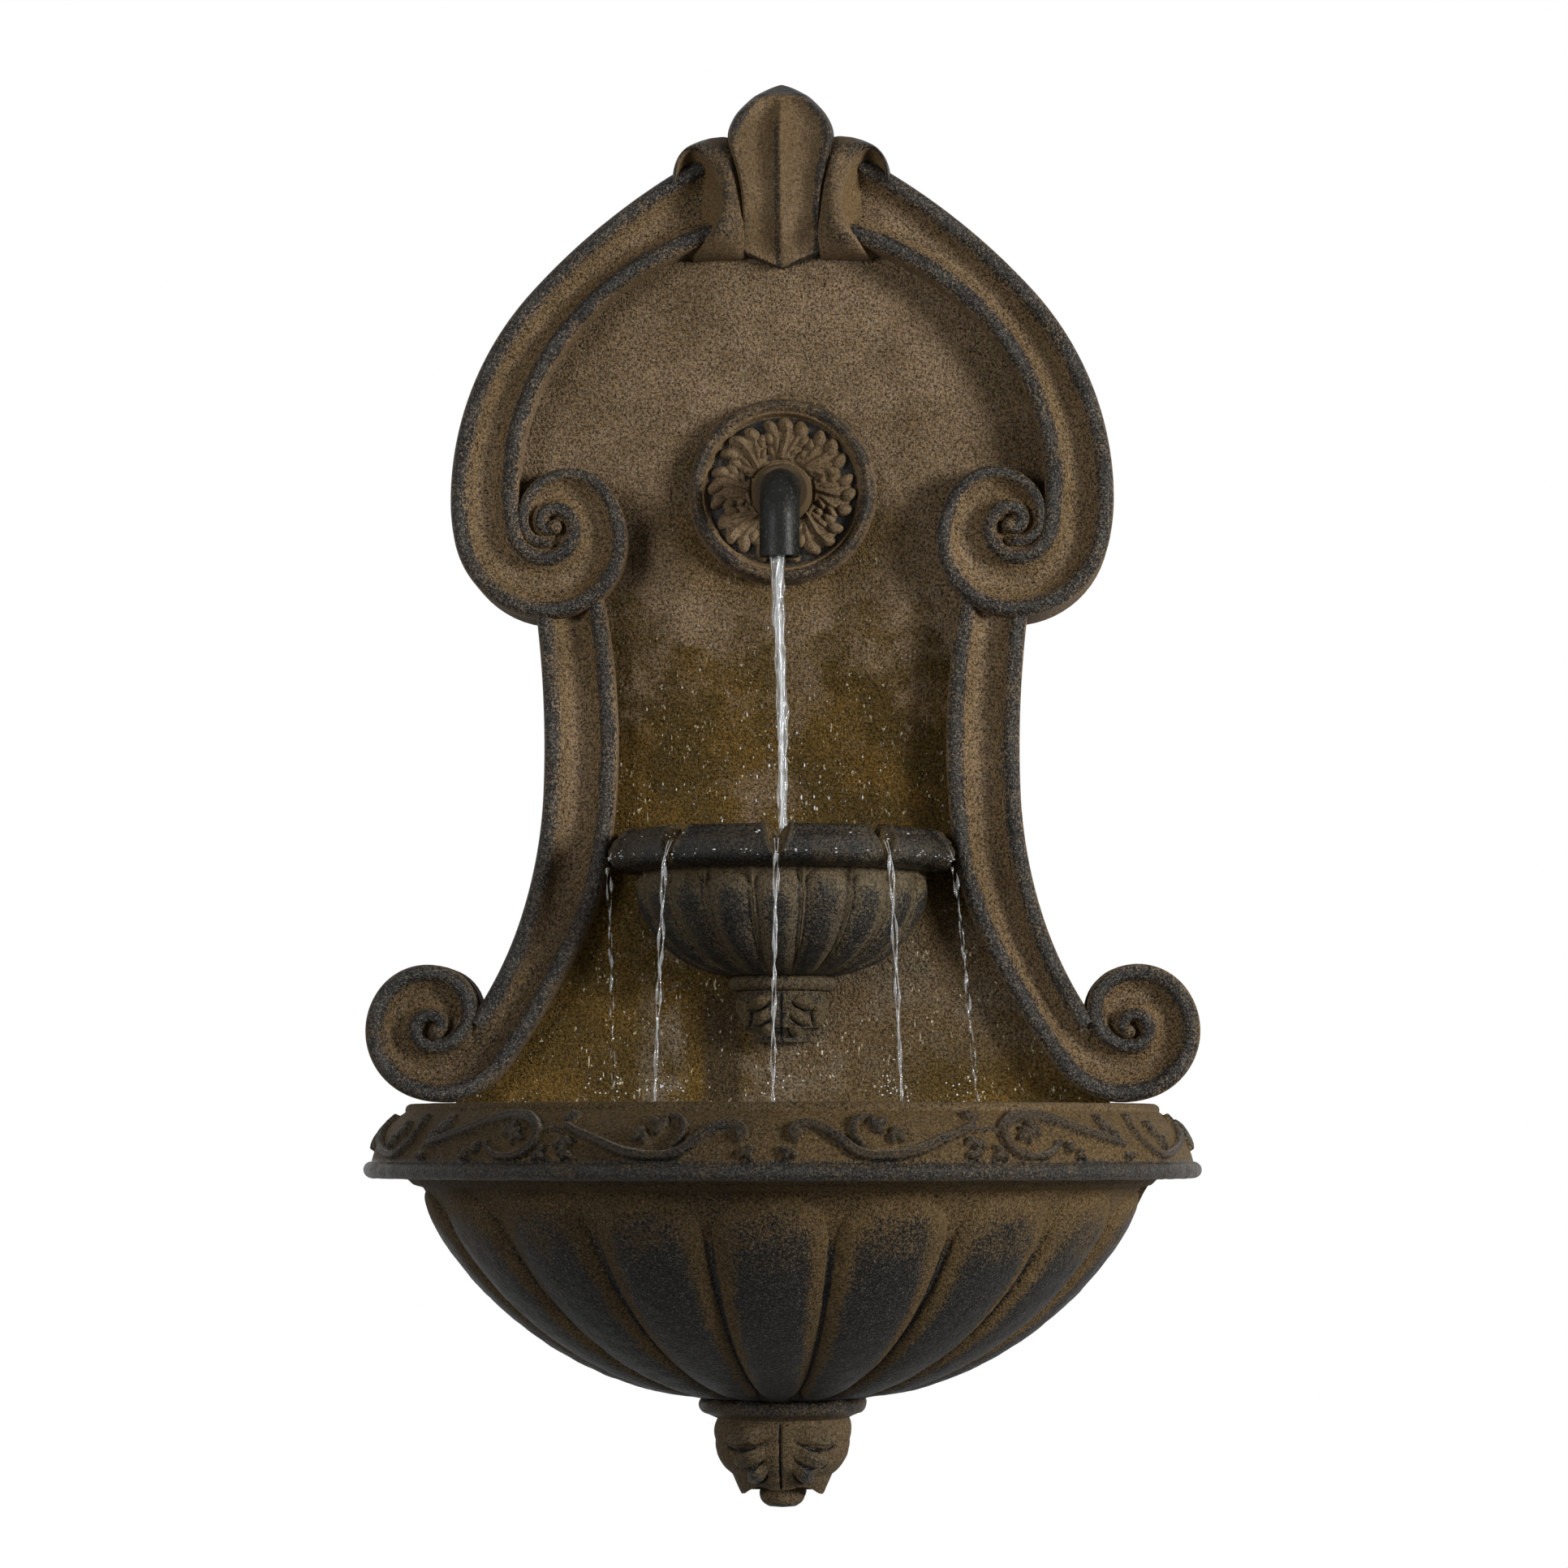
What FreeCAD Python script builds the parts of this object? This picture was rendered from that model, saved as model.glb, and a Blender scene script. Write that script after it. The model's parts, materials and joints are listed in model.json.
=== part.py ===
import FreeCAD, Part
import math
import os

V = FreeCAD.Vector

# Garden wall fountain, in millimetres. While it is built, x is to the right, y goes into the wall with the
# wall face at 0, and heights are measured from the rim of the lower basin. save() lowers every piece so that
# the origin is midway between the two hanging holes.

# Panel
FIELD_Y = -30.0
PLATE_T = 7.0
FLANGE_T = 8.0
REAR_COVER_T = 4.0
REAR_COVER_GAP = 0.5
HANGER_PLATE_T = 2.0
TONGUE_HALF_W = 128.0
TONGUE_DROP = 60.0
HOSE_SLOT_HALF_W = 11.0
BOSS_PLACES = ((60.0, 535.0), (148.0, 430.0), (148.0, 340.0), (118.0, 240.0), (118.0, 130.0), (140.0, 30.0))
BOSS_R = 6.0
GROMMET_AT = (60.0, 40.0)
GROMMET_R = 7.0
GROMMET_BORE_R = 4.0
GROMMET_LIP = 1.5

# Hanging plates, each with a keyhole
HANGER_Z = 470.0
HANGER_SPACING = 180.0
HANGER_HOLE_R = 5.5
HANGER_SLOT_HALF_W = 2.75
HANGER_SLOT_RISE = 12.0
HANGER_PLATE_HALF_W = 30.0
HANGER_PLATE_LOW = 11.0
HANGER_PLATE_HIGH = 21.0
HANGER_WINDOW_HALF_W = 8.0
HANGER_SCREW_X = 22.0
HANGER_SCREW_Z = 5.0
HANGER_SCREW_R = 2.0
HANGER_SCREW_HEAD_R = 4.0
HANGER_SCREW_LENGTH = 16.0

# Scrolls: how far the beads and the channel between them stand from the wall
BEAD_W = 10.8
BEAD_SINK = 0.3
ARCH_BEAD_Y = -52.0
ARCH_CHANNEL_Y = -41.0
SIDE_BEAD_Y = -49.0
SIDE_CHANNEL_Y = -38.0
EYE_RISE = 5.0
EYE_SPREAD = 2.0
LEAF_TOP_Z = 618.5

# Lower basin
BASIN_R = 252.0
BASIN_WALL = 10.0
BASIN_BACK_T = 7.0
BASIN_BASE_Z = -176.0
BASIN_BASE_R = 50.0
BASIN_FLOOR_T = 20.0
BASIN_BULGE = 26.3
LIP_OVERHANG = 33.0
RIM_LAND_W = 9.0
BEAD_DROP = 39.5
BOWL_TOP_DROP = 54.0
LOBE_PITCH = 20.0
GROOVE_R = 5.0

# Upper bowl
BOWL_R = 106.0
BOWL_LIP_Z = 162.0
BOWL_BASE_Z = 77.0
BOWL_BASE_R = 32.0
BOWL_WALL = 8.0
BOWL_BULGE = 15.0
BOWL_OVERHANG = 16.0
BOWL_LIP_H = 26.0
BOWL_SIDE_X = -102.5
BOWL_GROOVE_R = 3.0
NOTCH_W = 14.0
NOTCH_DEPTH = 11.0
NOTCH_LENGTH = 40.0
NOTCH_ANGLES = (-76.0, -38.0, 0.0, 38.0, 76.0)

# Spout and hose
ROSETTE_Z = 372.0
SPOUT_Z = 370.0
ROSETTE_R = 57.5
ROSETTE_BASE_T = 6.0
ROSETTE_HUB_T = 8.0
SHANK_R = 8.0
TAIL_FLANGE_R = 11.0
PIPE_R = 12.0
PIPE_BEND_R = 22.0
PIPE_REACH = 52.0
PIPE_DROP = 44.0
HOSE_R = 6.5
HOSE_BORE_R = 5.0
HOSE_Y = -14.5
BARB_GAP = 0.05
BARB_LENGTH = 24.0
CLIP_Z = (90.0, 235.0)
CLIP_T = 1.2
CLIP_W = 10.0
CLIP_SCREW_X = 14.0

# Fasteners
BOLT_R = 3.0
BOLT_HOLE_R = 3.3
BOLT_HEAD_R = 5.8
BOLT_HEAD_H = 4.0
WASHER_R = 7.0
WASHER_T = 1.5
INSERT_R = 4.5
SCREW_R = 1.8
SCREW_HEAD_R = 3.4
SCREW_HEAD_H = 1.7
BOLT_ROW_X = (-110.0, -55.0, 55.0, 110.0)
BOLT_ROW_Z = -14.0
BOWL_BOLT_X = (-45.0, 45.0)
BOWL_BOLT_Z = 118.0
CORBEL_SCREW_X = (-9.0, 9.0)
CORBEL_SCREW_Z = 58.0
FINIAL_BOLT_Y = -45.0
FINIAL_BOLT_R = 4.0
FINIAL_HEAD_R = 7.5
FINIAL_HEAD_H = 5.3
FINIAL_INSERT_R = 6.0
FINIAL_INSERT_TOP = 2.0
FINIAL_INSERT_H = 30.0
FINIAL_POCKET_R = 9.2
FINIAL_POCKET_DEPTH = 9.0

# Pump
PUMP_REAR_Y = -40.0
PUMP_LENGTH = 48.0
PUMP_HALF_W = 26.0
PUMP_H = 46.0
PUMP_FOOT_H = 6.0
PUMP_COVER_OVERLAP = 8.0
PUMP_COVER_REACH = 13.0
PUMP_SHELL = 2.0
CHAMBER_R = 14.0
CHAMBER_DEPTH = 13.0
WELL_R = 8.3
WELL_WALL = 1.5
IMPELLER_R = 12.5
ROTOR_R = 7.5
SHAFT_R = 1.5
RUNNING_GAP = 0.05
SLIDE_GAP = 0.3
DIAL_R = 7.0
DIAL_HUB_R = 3.0
DIAL_T = 3.7
DIAL_AT = (14.0, 12.0)
GLAND_R = 4.5
GLAND_AT = (15.0, 12.0)
POCKET_HALF_W = 21.0
POCKET_MARGIN = 4.0
STATOR_LENGTH = 20.0
STATOR_GAP = 0.3
IMPELLER_RISE = 22.0
OUTLET_RISE = 17.0

# Places worked out from the sizes above
PLATE_BACK_Y = FIELD_Y + PLATE_T
REAR_COVER_BACK_Y = -HANGER_PLATE_T
REAR_COVER_FRONT_Y = REAR_COVER_BACK_Y - REAR_COVER_T
BASIN_FLOOR_Z = BASIN_BASE_Z + BASIN_FLOOR_T
PUMP_FRONT_Y = PUMP_REAR_Y - PUMP_LENGTH
PUMP_BOTTOM_Z = BASIN_FLOOR_Z + PUMP_FOOT_H
PUMP_TOP_Z = PUMP_BOTTOM_Z + PUMP_H
IMPELLER_Z = PUMP_BOTTOM_Z + IMPELLER_RISE
CHAMBER_BACK_Y = PUMP_FRONT_Y + CHAMBER_DEPTH
OUTLET_Y = (PUMP_FRONT_Y + CHAMBER_BACK_Y) / 2
OUTLET_TOP_Z = PUMP_TOP_Z + OUTLET_RISE
POCKET_FRONT_Y = CHAMBER_BACK_Y + 3.0
STATOR_FRONT_Y = POCKET_FRONT_Y + STATOR_GAP
STATOR_BACK_Y = STATOR_FRONT_Y + STATOR_LENGTH
COVER_SHELL_Y = PUMP_FRONT_Y - PUMP_COVER_REACH
WELL_END_Y = PUMP_REAR_Y - 4.0
SHAFT_END_Y = WELL_END_Y - 0.6
BARB_TOP_Z = SPOUT_Z - TAIL_FLANGE_R
BARB_LOW_Z = BARB_TOP_Z - BARB_LENGTH

# Rails of the left-hand scrolls: start (x, z), heading in degrees, then (radius, turn) of each tangent arc,
# seen from the front. A turn above 0 goes to the left.
ARCH_OUTER = ((-40.2, 574.0), 208.0, ((395.0, 20.0), (184.6, 42.0), (120.0, 12.0), (54.0, 78.0), (42.0, 90.0),
                                      (50.0, 40.0), (25.0, 50.0), (28.0, 90.0), (14.0, 100.0)))
ARCH_INNER = ((-31.1, 531.8), 193.0, ((180.0, 38.3), (154.0, 39.8), (150.0, 8.9), (20.2, 81.1), (16.7, 117.8),
                                      (10.9, 79.5), (7.5, 60.0)))
SIDE_OUTER = ((-145.6, 311.7), -81.6, ((679.7, -10.4), (291.5, -15.1), (243.4, -17.3)))
SIDE_INNER = ((-114.8, 311.3), -77.9, ((452.7, -20.5), (160.9, -15.7), (492.2, -11.1), (44.9, -78.3),
                                       (37.1, -103.9), (30.9, -77.8), (21.7, -80.0), (21.7, -78.8), (10.1, -83.1),
                                       (9.0, -100.0)))
ARCH_BAND_ARCS = 2
ARCH_VOLUTE_ARCS = (2, 8)
SIDE_BAND_ARCS = 3
SIDE_VOLUTE_ARCS = (3, 7)


# Building blocks
def box(x0, x1, y0, y1, z0, z1):
    return Part.makeBox(x1 - x0, y1 - y0, z1 - z0, V(x0, y0, z0))


def rod(at, direction, radius, length, end_radius=None):
    """A cylinder or cone from a point along a direction."""
    if end_radius is None:
        return Part.makeCylinder(radius, length, at, direction)
    return Part.makeCone(radius, end_radius, length, at, direction)


def tube(at, direction, outer_r, inner_r, length):
    return rod(at, direction, outer_r, length).cut(rod(at, direction, inner_r, length))


def hex_bar(at, direction, corner_r, length):
    points = [V(corner_r * math.cos(math.radians(60 * i)), corner_r * math.sin(math.radians(60 * i)), 0)
              for i in range(7)]
    bar = Part.Face(Part.makePolygon(points)).extrude(V(0, 0, length))
    bar.Placement = FreeCAD.Placement(at, FreeCAD.Rotation(V(0, 0, 1), direction))
    return bar


def fuse(pieces):
    return pieces[0].multiFuse(pieces[1:]).removeSplitter() if len(pieces) > 1 else pieces[0]


def cut(shape, tools):
    for tool in tools:
        shape = shape.cut(tool)
    return shape


def mirrored(shape):
    return shape.mirror(V(0, 0, 0), V(1, 0, 0))


def both_sides(shapes):
    return list(shapes) + [mirrored(s) for s in shapes]


def outline(steps):
    """A face in the XZ plane. Each step is a corner (x, z), or (x, z, rise) for an arc that ends there and
    rises that far to the right of its chord."""
    edges = []
    for before, step in zip([steps[-1]] + list(steps[:-1]), steps):
        a, b = V(before[0], 0, before[1]), V(step[0], 0, step[1])
        if len(step) == 2:
            edges.append(Part.makeLine(a, b))
            continue
        side = V(b.z - a.z, 0, a.x - b.x).normalize()
        edges.append(Part.Arc(a, (a + b) * 0.5 + side * step[2], b).toShape())
    return Part.Face(Part.Wire(edges))


def between(face, y0, y1):
    """A face of the XZ plane made solid from one depth to the other."""
    return face.translated(V(0, y0, 0)).extrude(V(0, y1 - y0, 0))


def half_round(face, back_y):
    """A half turn of a profile in front of the field plane, carried straight back to back_y."""
    profile = face.translated(V(0, FIELD_Y, 0))
    front = profile.revolve(V(0, FIELD_Y, 0), V(0, 0, 1), -180)
    if back_y == FIELD_Y:
        return front
    side = profile.extrude(V(0, back_y - FIELD_Y, 0))
    return fuse([front] + both_sides([side]))


# Rails
def rail_joints(rail):
    (x, z), heading, arcs = rail
    joints = [(x, z, heading)]
    for radius, turn in arcs:
        side = radius if turn > 0 else -radius
        h0, h1 = math.radians(heading), math.radians(heading + turn)
        x += side * (math.sin(h1) - math.sin(h0))
        z -= side * (math.cos(h1) - math.cos(h0))
        heading += turn
        joints.append((x, z, heading))
    return joints


def beside(joint, offset, y=0.0):
    """The point that lies offset to the left of a rail's joint."""
    x, z, heading = joint
    h = math.radians(heading)
    return V(x - offset * math.sin(h), y, z + offset * math.cos(h))


def flank(rail, offset, first=0, last=None):
    """Edges that follow a rail at an offset to its left."""
    joints = rail_joints(rail)
    edges = []
    for i, (radius, turn) in list(enumerate(rail[2]))[first:last]:
        middle = rail_joints((joints[i][:2], joints[i][2], ((radius, turn / 2),)))[1]
        a, b, c = (beside(joint, offset) for joint in (joints[i], middle, joints[i + 1]))
        edges.append(Part.Arc(a, b, c).toShape())
    return edges


def closed(edges, corners):
    """A face from a run of edges, closed through corner points (x, z) given from its end back to its start."""
    start, end = edges[0].firstVertex(True).Point, edges[-1].lastVertex(True).Point
    points = [end] + [V(x, 0, z) for x, z in corners] + [start]
    lines = [Part.makeLine(a, b) for a, b in zip(points, points[1:]) if a.distanceToPoint(b) > 0.001]
    return Part.Face(Part.Wire(list(edges) + lines))


def bead(rail, crown_y, widths):
    """A half-round bead along a rail, with its own width on each arc. It stands up to crown_y where it is
    widest, and lower as it narrows."""
    joints = rail_joints(rail)
    parts = []
    for (radius, turn), width, joint in zip(rail[2], widths, joints):
        side = radius if turn > 0 else -radius
        centre = beside(joint, side)
        half = width / 2
        top_y = crown_y + (BEAD_W - width) * BEAD_SINK
        low = [beside(joint, o, FIELD_Y) for o in (half, -half)]
        high = [beside(joint, o, top_y + half) for o in (-half, half)]
        wire = Part.Wire([Part.makeLine(low[0], low[1]), Part.makeLine(low[1], high[0]),
                          Part.Arc(high[0], beside(joint, 0, top_y), high[1]).toShape(),
                          Part.makeLine(high[1], low[0])])
        parts.append(Part.Face(wire).revolve(centre, V(0, -1, 0), turn))
    return parts


def tapered(count, start, end, keep):
    """Widths of a rail's arcs: the first ones keep the start width, the rest narrow evenly to the end width."""
    steps = count - keep
    return [start] * keep + [start + (end - start) * (i + 1) / steps for i in range(steps)]


# Outer shapes of the scrolls, shared by the castings and the panel behind them
def arch_faces():
    half = BEAD_W / 2
    inner = rail_joints(ARCH_INNER)
    inner_flank = flank(ARCH_INNER, half, 0, ARCH_BAND_ARCS)
    outer_flank = flank(ARCH_OUTER, -half, 0, ARCH_BAND_ARCS)
    inner_foot = beside(inner[ARCH_BAND_ARCS], half)
    head = Part.makeLine(beside(inner[0], half), outer_flank[0].firstVertex(True).Point)
    foot = Part.makeLine(outer_flank[-1].lastVertex(True).Point, inner_foot)
    band = Part.Face(Part.Wire(Part.sortEdges(outer_flank + [foot] + inner_flank + [head])[0]))
    spiral = flank(ARCH_OUTER, -half, *ARCH_VOLUTE_ARCS)
    end = spiral[-1].lastVertex(True).Point
    volute = closed(spiral, [(end.x - half, end.z), (inner_foot.x, inner_foot.z)])
    return [band, volute]


def side_faces():
    half = BEAD_W / 2
    inner_flank = flank(SIDE_INNER, half, 0, SIDE_BAND_ARCS)
    outer_flank = flank(SIDE_OUTER, -half)
    head = Part.makeLine(inner_flank[0].firstVertex(True).Point, outer_flank[0].firstVertex(True).Point)
    foot = Part.makeLine(outer_flank[-1].lastVertex(True).Point, inner_flank[-1].lastVertex(True).Point)
    band = Part.Face(Part.Wire(Part.sortEdges(outer_flank + [foot] + inner_flank + [head])[0]))
    volute = closed(flank(SIDE_INNER, half, *SIDE_VOLUTE_ARCS), [])
    return [band, volute]


def curl_face():
    return outline([(-54.0, 513.5), (-38.0, 548.0, 4.0), (-47.0, 560.5, 2.0), (-57.0, 555.5),
                    (-65.5, 569.0), (-62.0, 575.0, -0.5), (-42.0, 583.0, -4.0), (-33.3, 583.0, -1.0),
                    (-29.0, 552.0, -1.0), (-28.3, 514.5)])


def leaf_face():
    half = [(33.3, 584.0, -7.0), (29.0, 552.0, 1.0), (28.3, 514.5), (14.0, 509.5, -1.5), (0.0, 505.8)]
    left = [(-14.0, 509.5), (-28.3, 514.5, -1.5), (-29.0, 552.0), (-33.3, 584.0, 1.0), (0.0, LEAF_TOP_Z, -7.0)]
    return outline(half + left)


def arch_prism(y0, y1):
    return fuse([between(face, y0, y1) for face in arch_faces()])


def scroll_eye(rail, crown_y, width):
    """The rounded button in which a rail's bead ends."""
    x, z, _ = rail_joints(rail)[-1]
    radius = width / 2 + EYE_SPREAD
    knob = rod(V(x, FIELD_Y, z), V(0, -1, 0), radius, FIELD_Y - crown_y + EYE_RISE)
    front = [e for e in knob.Edges if abs(e.BoundBox.YMax - crown_y + EYE_RISE) < 0.01]
    return knob.makeFillet(radius - 1.5, front)


# Castings that dress the panel
def upper_scroll():
    outer_w = tapered(len(ARCH_OUTER[2]), BEAD_W, 6.5, 4)
    inner_w = tapered(len(ARCH_INNER[2]), BEAD_W, 8.0, 3)
    parts = [arch_prism(FIELD_Y, ARCH_CHANNEL_Y), scroll_eye(ARCH_INNER, ARCH_BEAD_Y, inner_w[-1])]
    parts += bead(ARCH_OUTER, ARCH_BEAD_Y, outer_w) + bead(ARCH_INNER, ARCH_BEAD_Y, inner_w)
    return fuse(parts).cut(between(curl_face(), FIELD_Y, ARCH_BEAD_Y - EYE_RISE)).cut(
        box(-30.0, 60.0, -80.0, FIELD_Y, 500.0, 600.0))


def lower_scroll():
    inner_w = tapered(len(SIDE_INNER[2]), BEAD_W, 8.0, 5)
    outer_w = [BEAD_W] * len(SIDE_OUTER[2])
    parts = [between(face, FIELD_Y, SIDE_CHANNEL_Y) for face in side_faces()]
    parts.append(scroll_eye(SIDE_INNER, SIDE_BEAD_Y, inner_w[-1]))
    parts += bead(SIDE_INNER, SIDE_BEAD_Y, inner_w) + bead(SIDE_OUTER, SIDE_BEAD_Y, outer_w)
    return fuse(parts).cut(arch_prism(FIELD_Y, ARCH_BEAD_Y - EYE_RISE))


def crown_leaf():
    front_y, lobe_x, lobe_r = -70.0, 13.5, 24.0
    side = Part.Face(Part.makePolygon([V(0, FIELD_Y, 500), V(0, -56, 500), V(0, -66, 530), V(0, front_y, 580),
                                       V(0, -64, LEAF_TOP_Z - 8), V(0, -56, LEAF_TOP_Z + 2),
                                       V(0, FIELD_Y, LEAF_TOP_Z + 4), V(0, FIELD_Y, 500)]))
    lobes = both_sides([rod(V(lobe_x, front_y + lobe_r, 490), V(0, 0, 1), lobe_r, 150)])
    body = fuse(lobes + [box(-40, 40, front_y + lobe_r, FIELD_Y, 490, 640)])
    leaf = between(leaf_face(), FIELD_Y, front_y - 5).common(body)
    return leaf.common(side.translated(V(-50, 0, 0)).extrude(V(100, 0, 0)))


def crown_curl():
    front_y = -64.0
    side = Part.Face(Part.makePolygon([V(0, FIELD_Y, 505), V(0, -48, 505), V(0, -58, 540), V(0, front_y, 565),
                                       V(0, -58, 590), V(0, FIELD_Y, 595), V(0, FIELD_Y, 505)]))
    return between(curl_face(), FIELD_Y, front_y).common(side.translated(V(-80, 0, 0)).extrude(V(80, 0, 0)))


def rosette():
    bead_r = 5.0
    leaf_count, leaf_r, leaf_ring_r = 8, 12.0, 32.0
    front = V(0, -1, 0)
    parts = [rod(V(0, FIELD_Y, ROSETTE_Z), front, ROSETTE_R, ROSETTE_BASE_T),
             rod(V(0, FIELD_Y, ROSETTE_Z), front, PIPE_R + 8, ROSETTE_HUB_T),
             Part.makeTorus(ROSETTE_R - bead_r, bead_r, V(0, FIELD_Y - ROSETTE_BASE_T - 1, ROSETTE_Z), front)]
    for i in range(leaf_count):
        a = math.radians(360.0 / leaf_count * (i + 0.5))
        centre = V(leaf_ring_r * math.cos(a), FIELD_Y, ROSETTE_Z + leaf_ring_r * math.sin(a))
        parts.append(Part.makeSphere(leaf_r, centre))
    keep = rod(V(0, FIELD_Y, ROSETTE_Z), front, ROSETTE_R, 20)
    hub_face = rod(V(0, FIELD_Y - ROSETTE_HUB_T, SPOUT_Z), front, PIPE_R + 7, 20)
    return cut(fuse(parts).common(keep), [hub_face, rod(V(0, FIELD_Y, SPOUT_Z), front, SHANK_R + 0.2, 20)])


# Panel
def panel_prism(inset, y0, y1):
    """The panel's outline, drawn in by an inset, from one depth to the other."""
    half = BEAD_W / 2 - inset
    arch = flank(ARCH_OUTER, -half, 0, 4)
    top = arch[0].firstVertex(True).Point
    low = arch[-1].lastVertex(True).Point
    upper = closed(arch, [(0, low.z), (0, top.z)])
    side = flank(SIDE_OUTER, -half)
    foot = side[-1].lastVertex(True).Point
    head = side[0].firstVertex(True).Point
    lower = closed(side, [(foot.x - 10.0 + inset, inset), (0, inset), (0, head.z)])
    return fuse([between(face, y0, y1) for face in (upper, lower)]
                + [mirrored(between(face, y0, y1)) for face in (upper, lower)])


def boss_places():
    return [(s * x, z) for x, z in BOSS_PLACES for s in (-1, 1)]


def hanger_centres():
    return [(s * HANGER_SPACING / 2, HANGER_Z) for s in (-1, 1)]


def hanger_screw_places():
    return [(x + s * HANGER_SCREW_X, z + HANGER_SCREW_Z) for x, z in hanger_centres() for s in (-1, 1)]


def backplate():
    to_wall = V(0, 1, 0)
    solid = panel_prism(0, FIELD_Y, 0)
    volutes = both_sides([between(side_faces()[1], FIELD_Y, 0)])
    crown = [rod(V(0, FIELD_Y, 580.0), to_wall, 32.0, -FIELD_Y)]
    crown += both_sides([rod(V(-46.0, FIELD_Y, 563.0), to_wall, 19.0, -FIELD_Y)])
    tray = fuse([solid] + volutes + crown)
    tray = tray.cut(panel_prism(FLANGE_T, PLATE_BACK_Y, 0))
    bosses = [rod(V(x, PLATE_BACK_Y, z), to_wall, BOSS_R, REAR_COVER_FRONT_Y - PLATE_BACK_Y)
              for x, z in boss_places() + hanger_screw_places()]
    tongue = box(-TONGUE_HALF_W, TONGUE_HALF_W, FIELD_Y, -BASIN_BACK_T, -TONGUE_DROP, 0)
    tray = fuse([tray, tongue] + bosses)
    holes = [rod(V(x, REAR_COVER_FRONT_Y, z), V(0, -1, 0), SCREW_R, 12) for x, z in boss_places()]
    holes += [rod(V(x, REAR_COVER_FRONT_Y, z), V(0, -1, 0), HANGER_SCREW_R, 14)
              for x, z in hanger_screw_places()]
    holes += [rod(V(x, FIELD_Y, BOLT_ROW_Z), to_wall, BOLT_HOLE_R, -FIELD_Y) for x in BOLT_ROW_X]
    holes += [rod(V(x, FIELD_Y, BOWL_BOLT_Z), to_wall, BOLT_HOLE_R, PLATE_T) for x in BOWL_BOLT_X]
    holes += [rod(V(x, FIELD_Y, CORBEL_SCREW_Z), to_wall, SCREW_R + 0.2, PLATE_T) for x in CORBEL_SCREW_X]
    holes.append(rod(V(0, FIELD_Y, SPOUT_Z), to_wall, SHANK_R + 0.2, PLATE_T))
    holes.append(box(-HOSE_SLOT_HALF_W, HOSE_SLOT_HALF_W, FIELD_Y, 0, -TONGUE_DROP, 0))
    holes.append(box(-HOSE_SLOT_HALF_W, HOSE_SLOT_HALF_W, PLATE_BACK_Y, 0, -1, FLANGE_T + 1))
    holes += [rod(V(s * CLIP_SCREW_X, PLATE_BACK_Y, z), V(0, -1, 0), SCREW_R, 5)
              for z in CLIP_Z for s in (-1, 1)]
    return cut(tray, holes)


def rear_cover():
    cover = panel_prism(FLANGE_T + REAR_COVER_GAP, REAR_COVER_FRONT_Y, REAR_COVER_BACK_Y)
    back = V(0, 1, 0)
    holes = [rod(V(x, REAR_COVER_FRONT_Y, z), back, SCREW_R + 0.2, REAR_COVER_T) for x, z in boss_places()]
    holes += [rod(V(x, REAR_COVER_FRONT_Y, z), back, HANGER_SCREW_R, REAR_COVER_T)
              for x, z in hanger_screw_places()]
    window = HANGER_WINDOW_HALF_W
    holes += [box(x - window, x + window, REAR_COVER_FRONT_Y, 0, z - window, z + HANGER_SLOT_RISE + window)
              for x, z in hanger_centres()]
    holes.append(rod(V(GROMMET_AT[0], REAR_COVER_FRONT_Y, GROMMET_AT[1]), back, GROMMET_R, REAR_COVER_T))
    return cut(cover, holes)


def cord_grommet():
    x, z = GROMMET_AT
    lip = GROMMET_LIP
    back = V(0, 1, 0)
    body = fuse([rod(V(x, REAR_COVER_FRONT_Y - lip, z), back, GROMMET_R + 2, lip),
                 rod(V(x, REAR_COVER_FRONT_Y, z), back, GROMMET_R, REAR_COVER_T),
                 rod(V(x, REAR_COVER_BACK_Y, z), back, GROMMET_R + 2, lip)])
    return body.cut(rod(V(x, REAR_COVER_FRONT_Y - lip, z), back, GROMMET_BORE_R, REAR_COVER_T + 2 * lip))


def hanger_plate(x, z):
    plate = box(x - HANGER_PLATE_HALF_W, x + HANGER_PLATE_HALF_W, -HANGER_PLATE_T, 0, z - HANGER_PLATE_LOW,
                z + HANGER_PLATE_HIGH)
    back = V(0, 1, 0)
    tools = [rod(V(x, -HANGER_PLATE_T, z), back, HANGER_HOLE_R, HANGER_PLATE_T),
             box(x - HANGER_SLOT_HALF_W, x + HANGER_SLOT_HALF_W, -HANGER_PLATE_T, 0, z, z + HANGER_SLOT_RISE),
             rod(V(x, -HANGER_PLATE_T, z + HANGER_SLOT_RISE), back, HANGER_SLOT_HALF_W, HANGER_PLATE_T)]
    tools += [rod(V(x + s * HANGER_SCREW_X, -HANGER_PLATE_T, z + HANGER_SCREW_Z), back, HANGER_SCREW_R,
                  HANGER_PLATE_T, HANGER_SCREW_HEAD_R) for s in (-1, 1)]
    return cut(plate, tools)


def hanger_screw(x, z):
    return fuse([rod(V(x, -HANGER_PLATE_T, z), V(0, 1, 0), HANGER_SCREW_R, HANGER_PLATE_T, HANGER_SCREW_HEAD_R),
                 rod(V(x, -HANGER_PLATE_T, z), V(0, -1, 0), HANGER_SCREW_R, HANGER_SCREW_LENGTH)])


def pan_screw(at, direction, length, radius=SCREW_R):
    """A pan-head screw whose head seats at a point, with its shank along a direction."""
    slot = Part.makeBox(2 * SCREW_HEAD_R, 0.8, 0.8, V(-SCREW_HEAD_R, -0.4, -SCREW_HEAD_H))
    slot.Placement = FreeCAD.Placement(at, FreeCAD.Rotation(V(0, 0, 1), direction))
    head = rod(at, direction * -1, SCREW_HEAD_R, SCREW_HEAD_H, SCREW_HEAD_R - 0.6)
    return fuse([head, rod(at, direction, radius, length)]).cut(slot)


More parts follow.
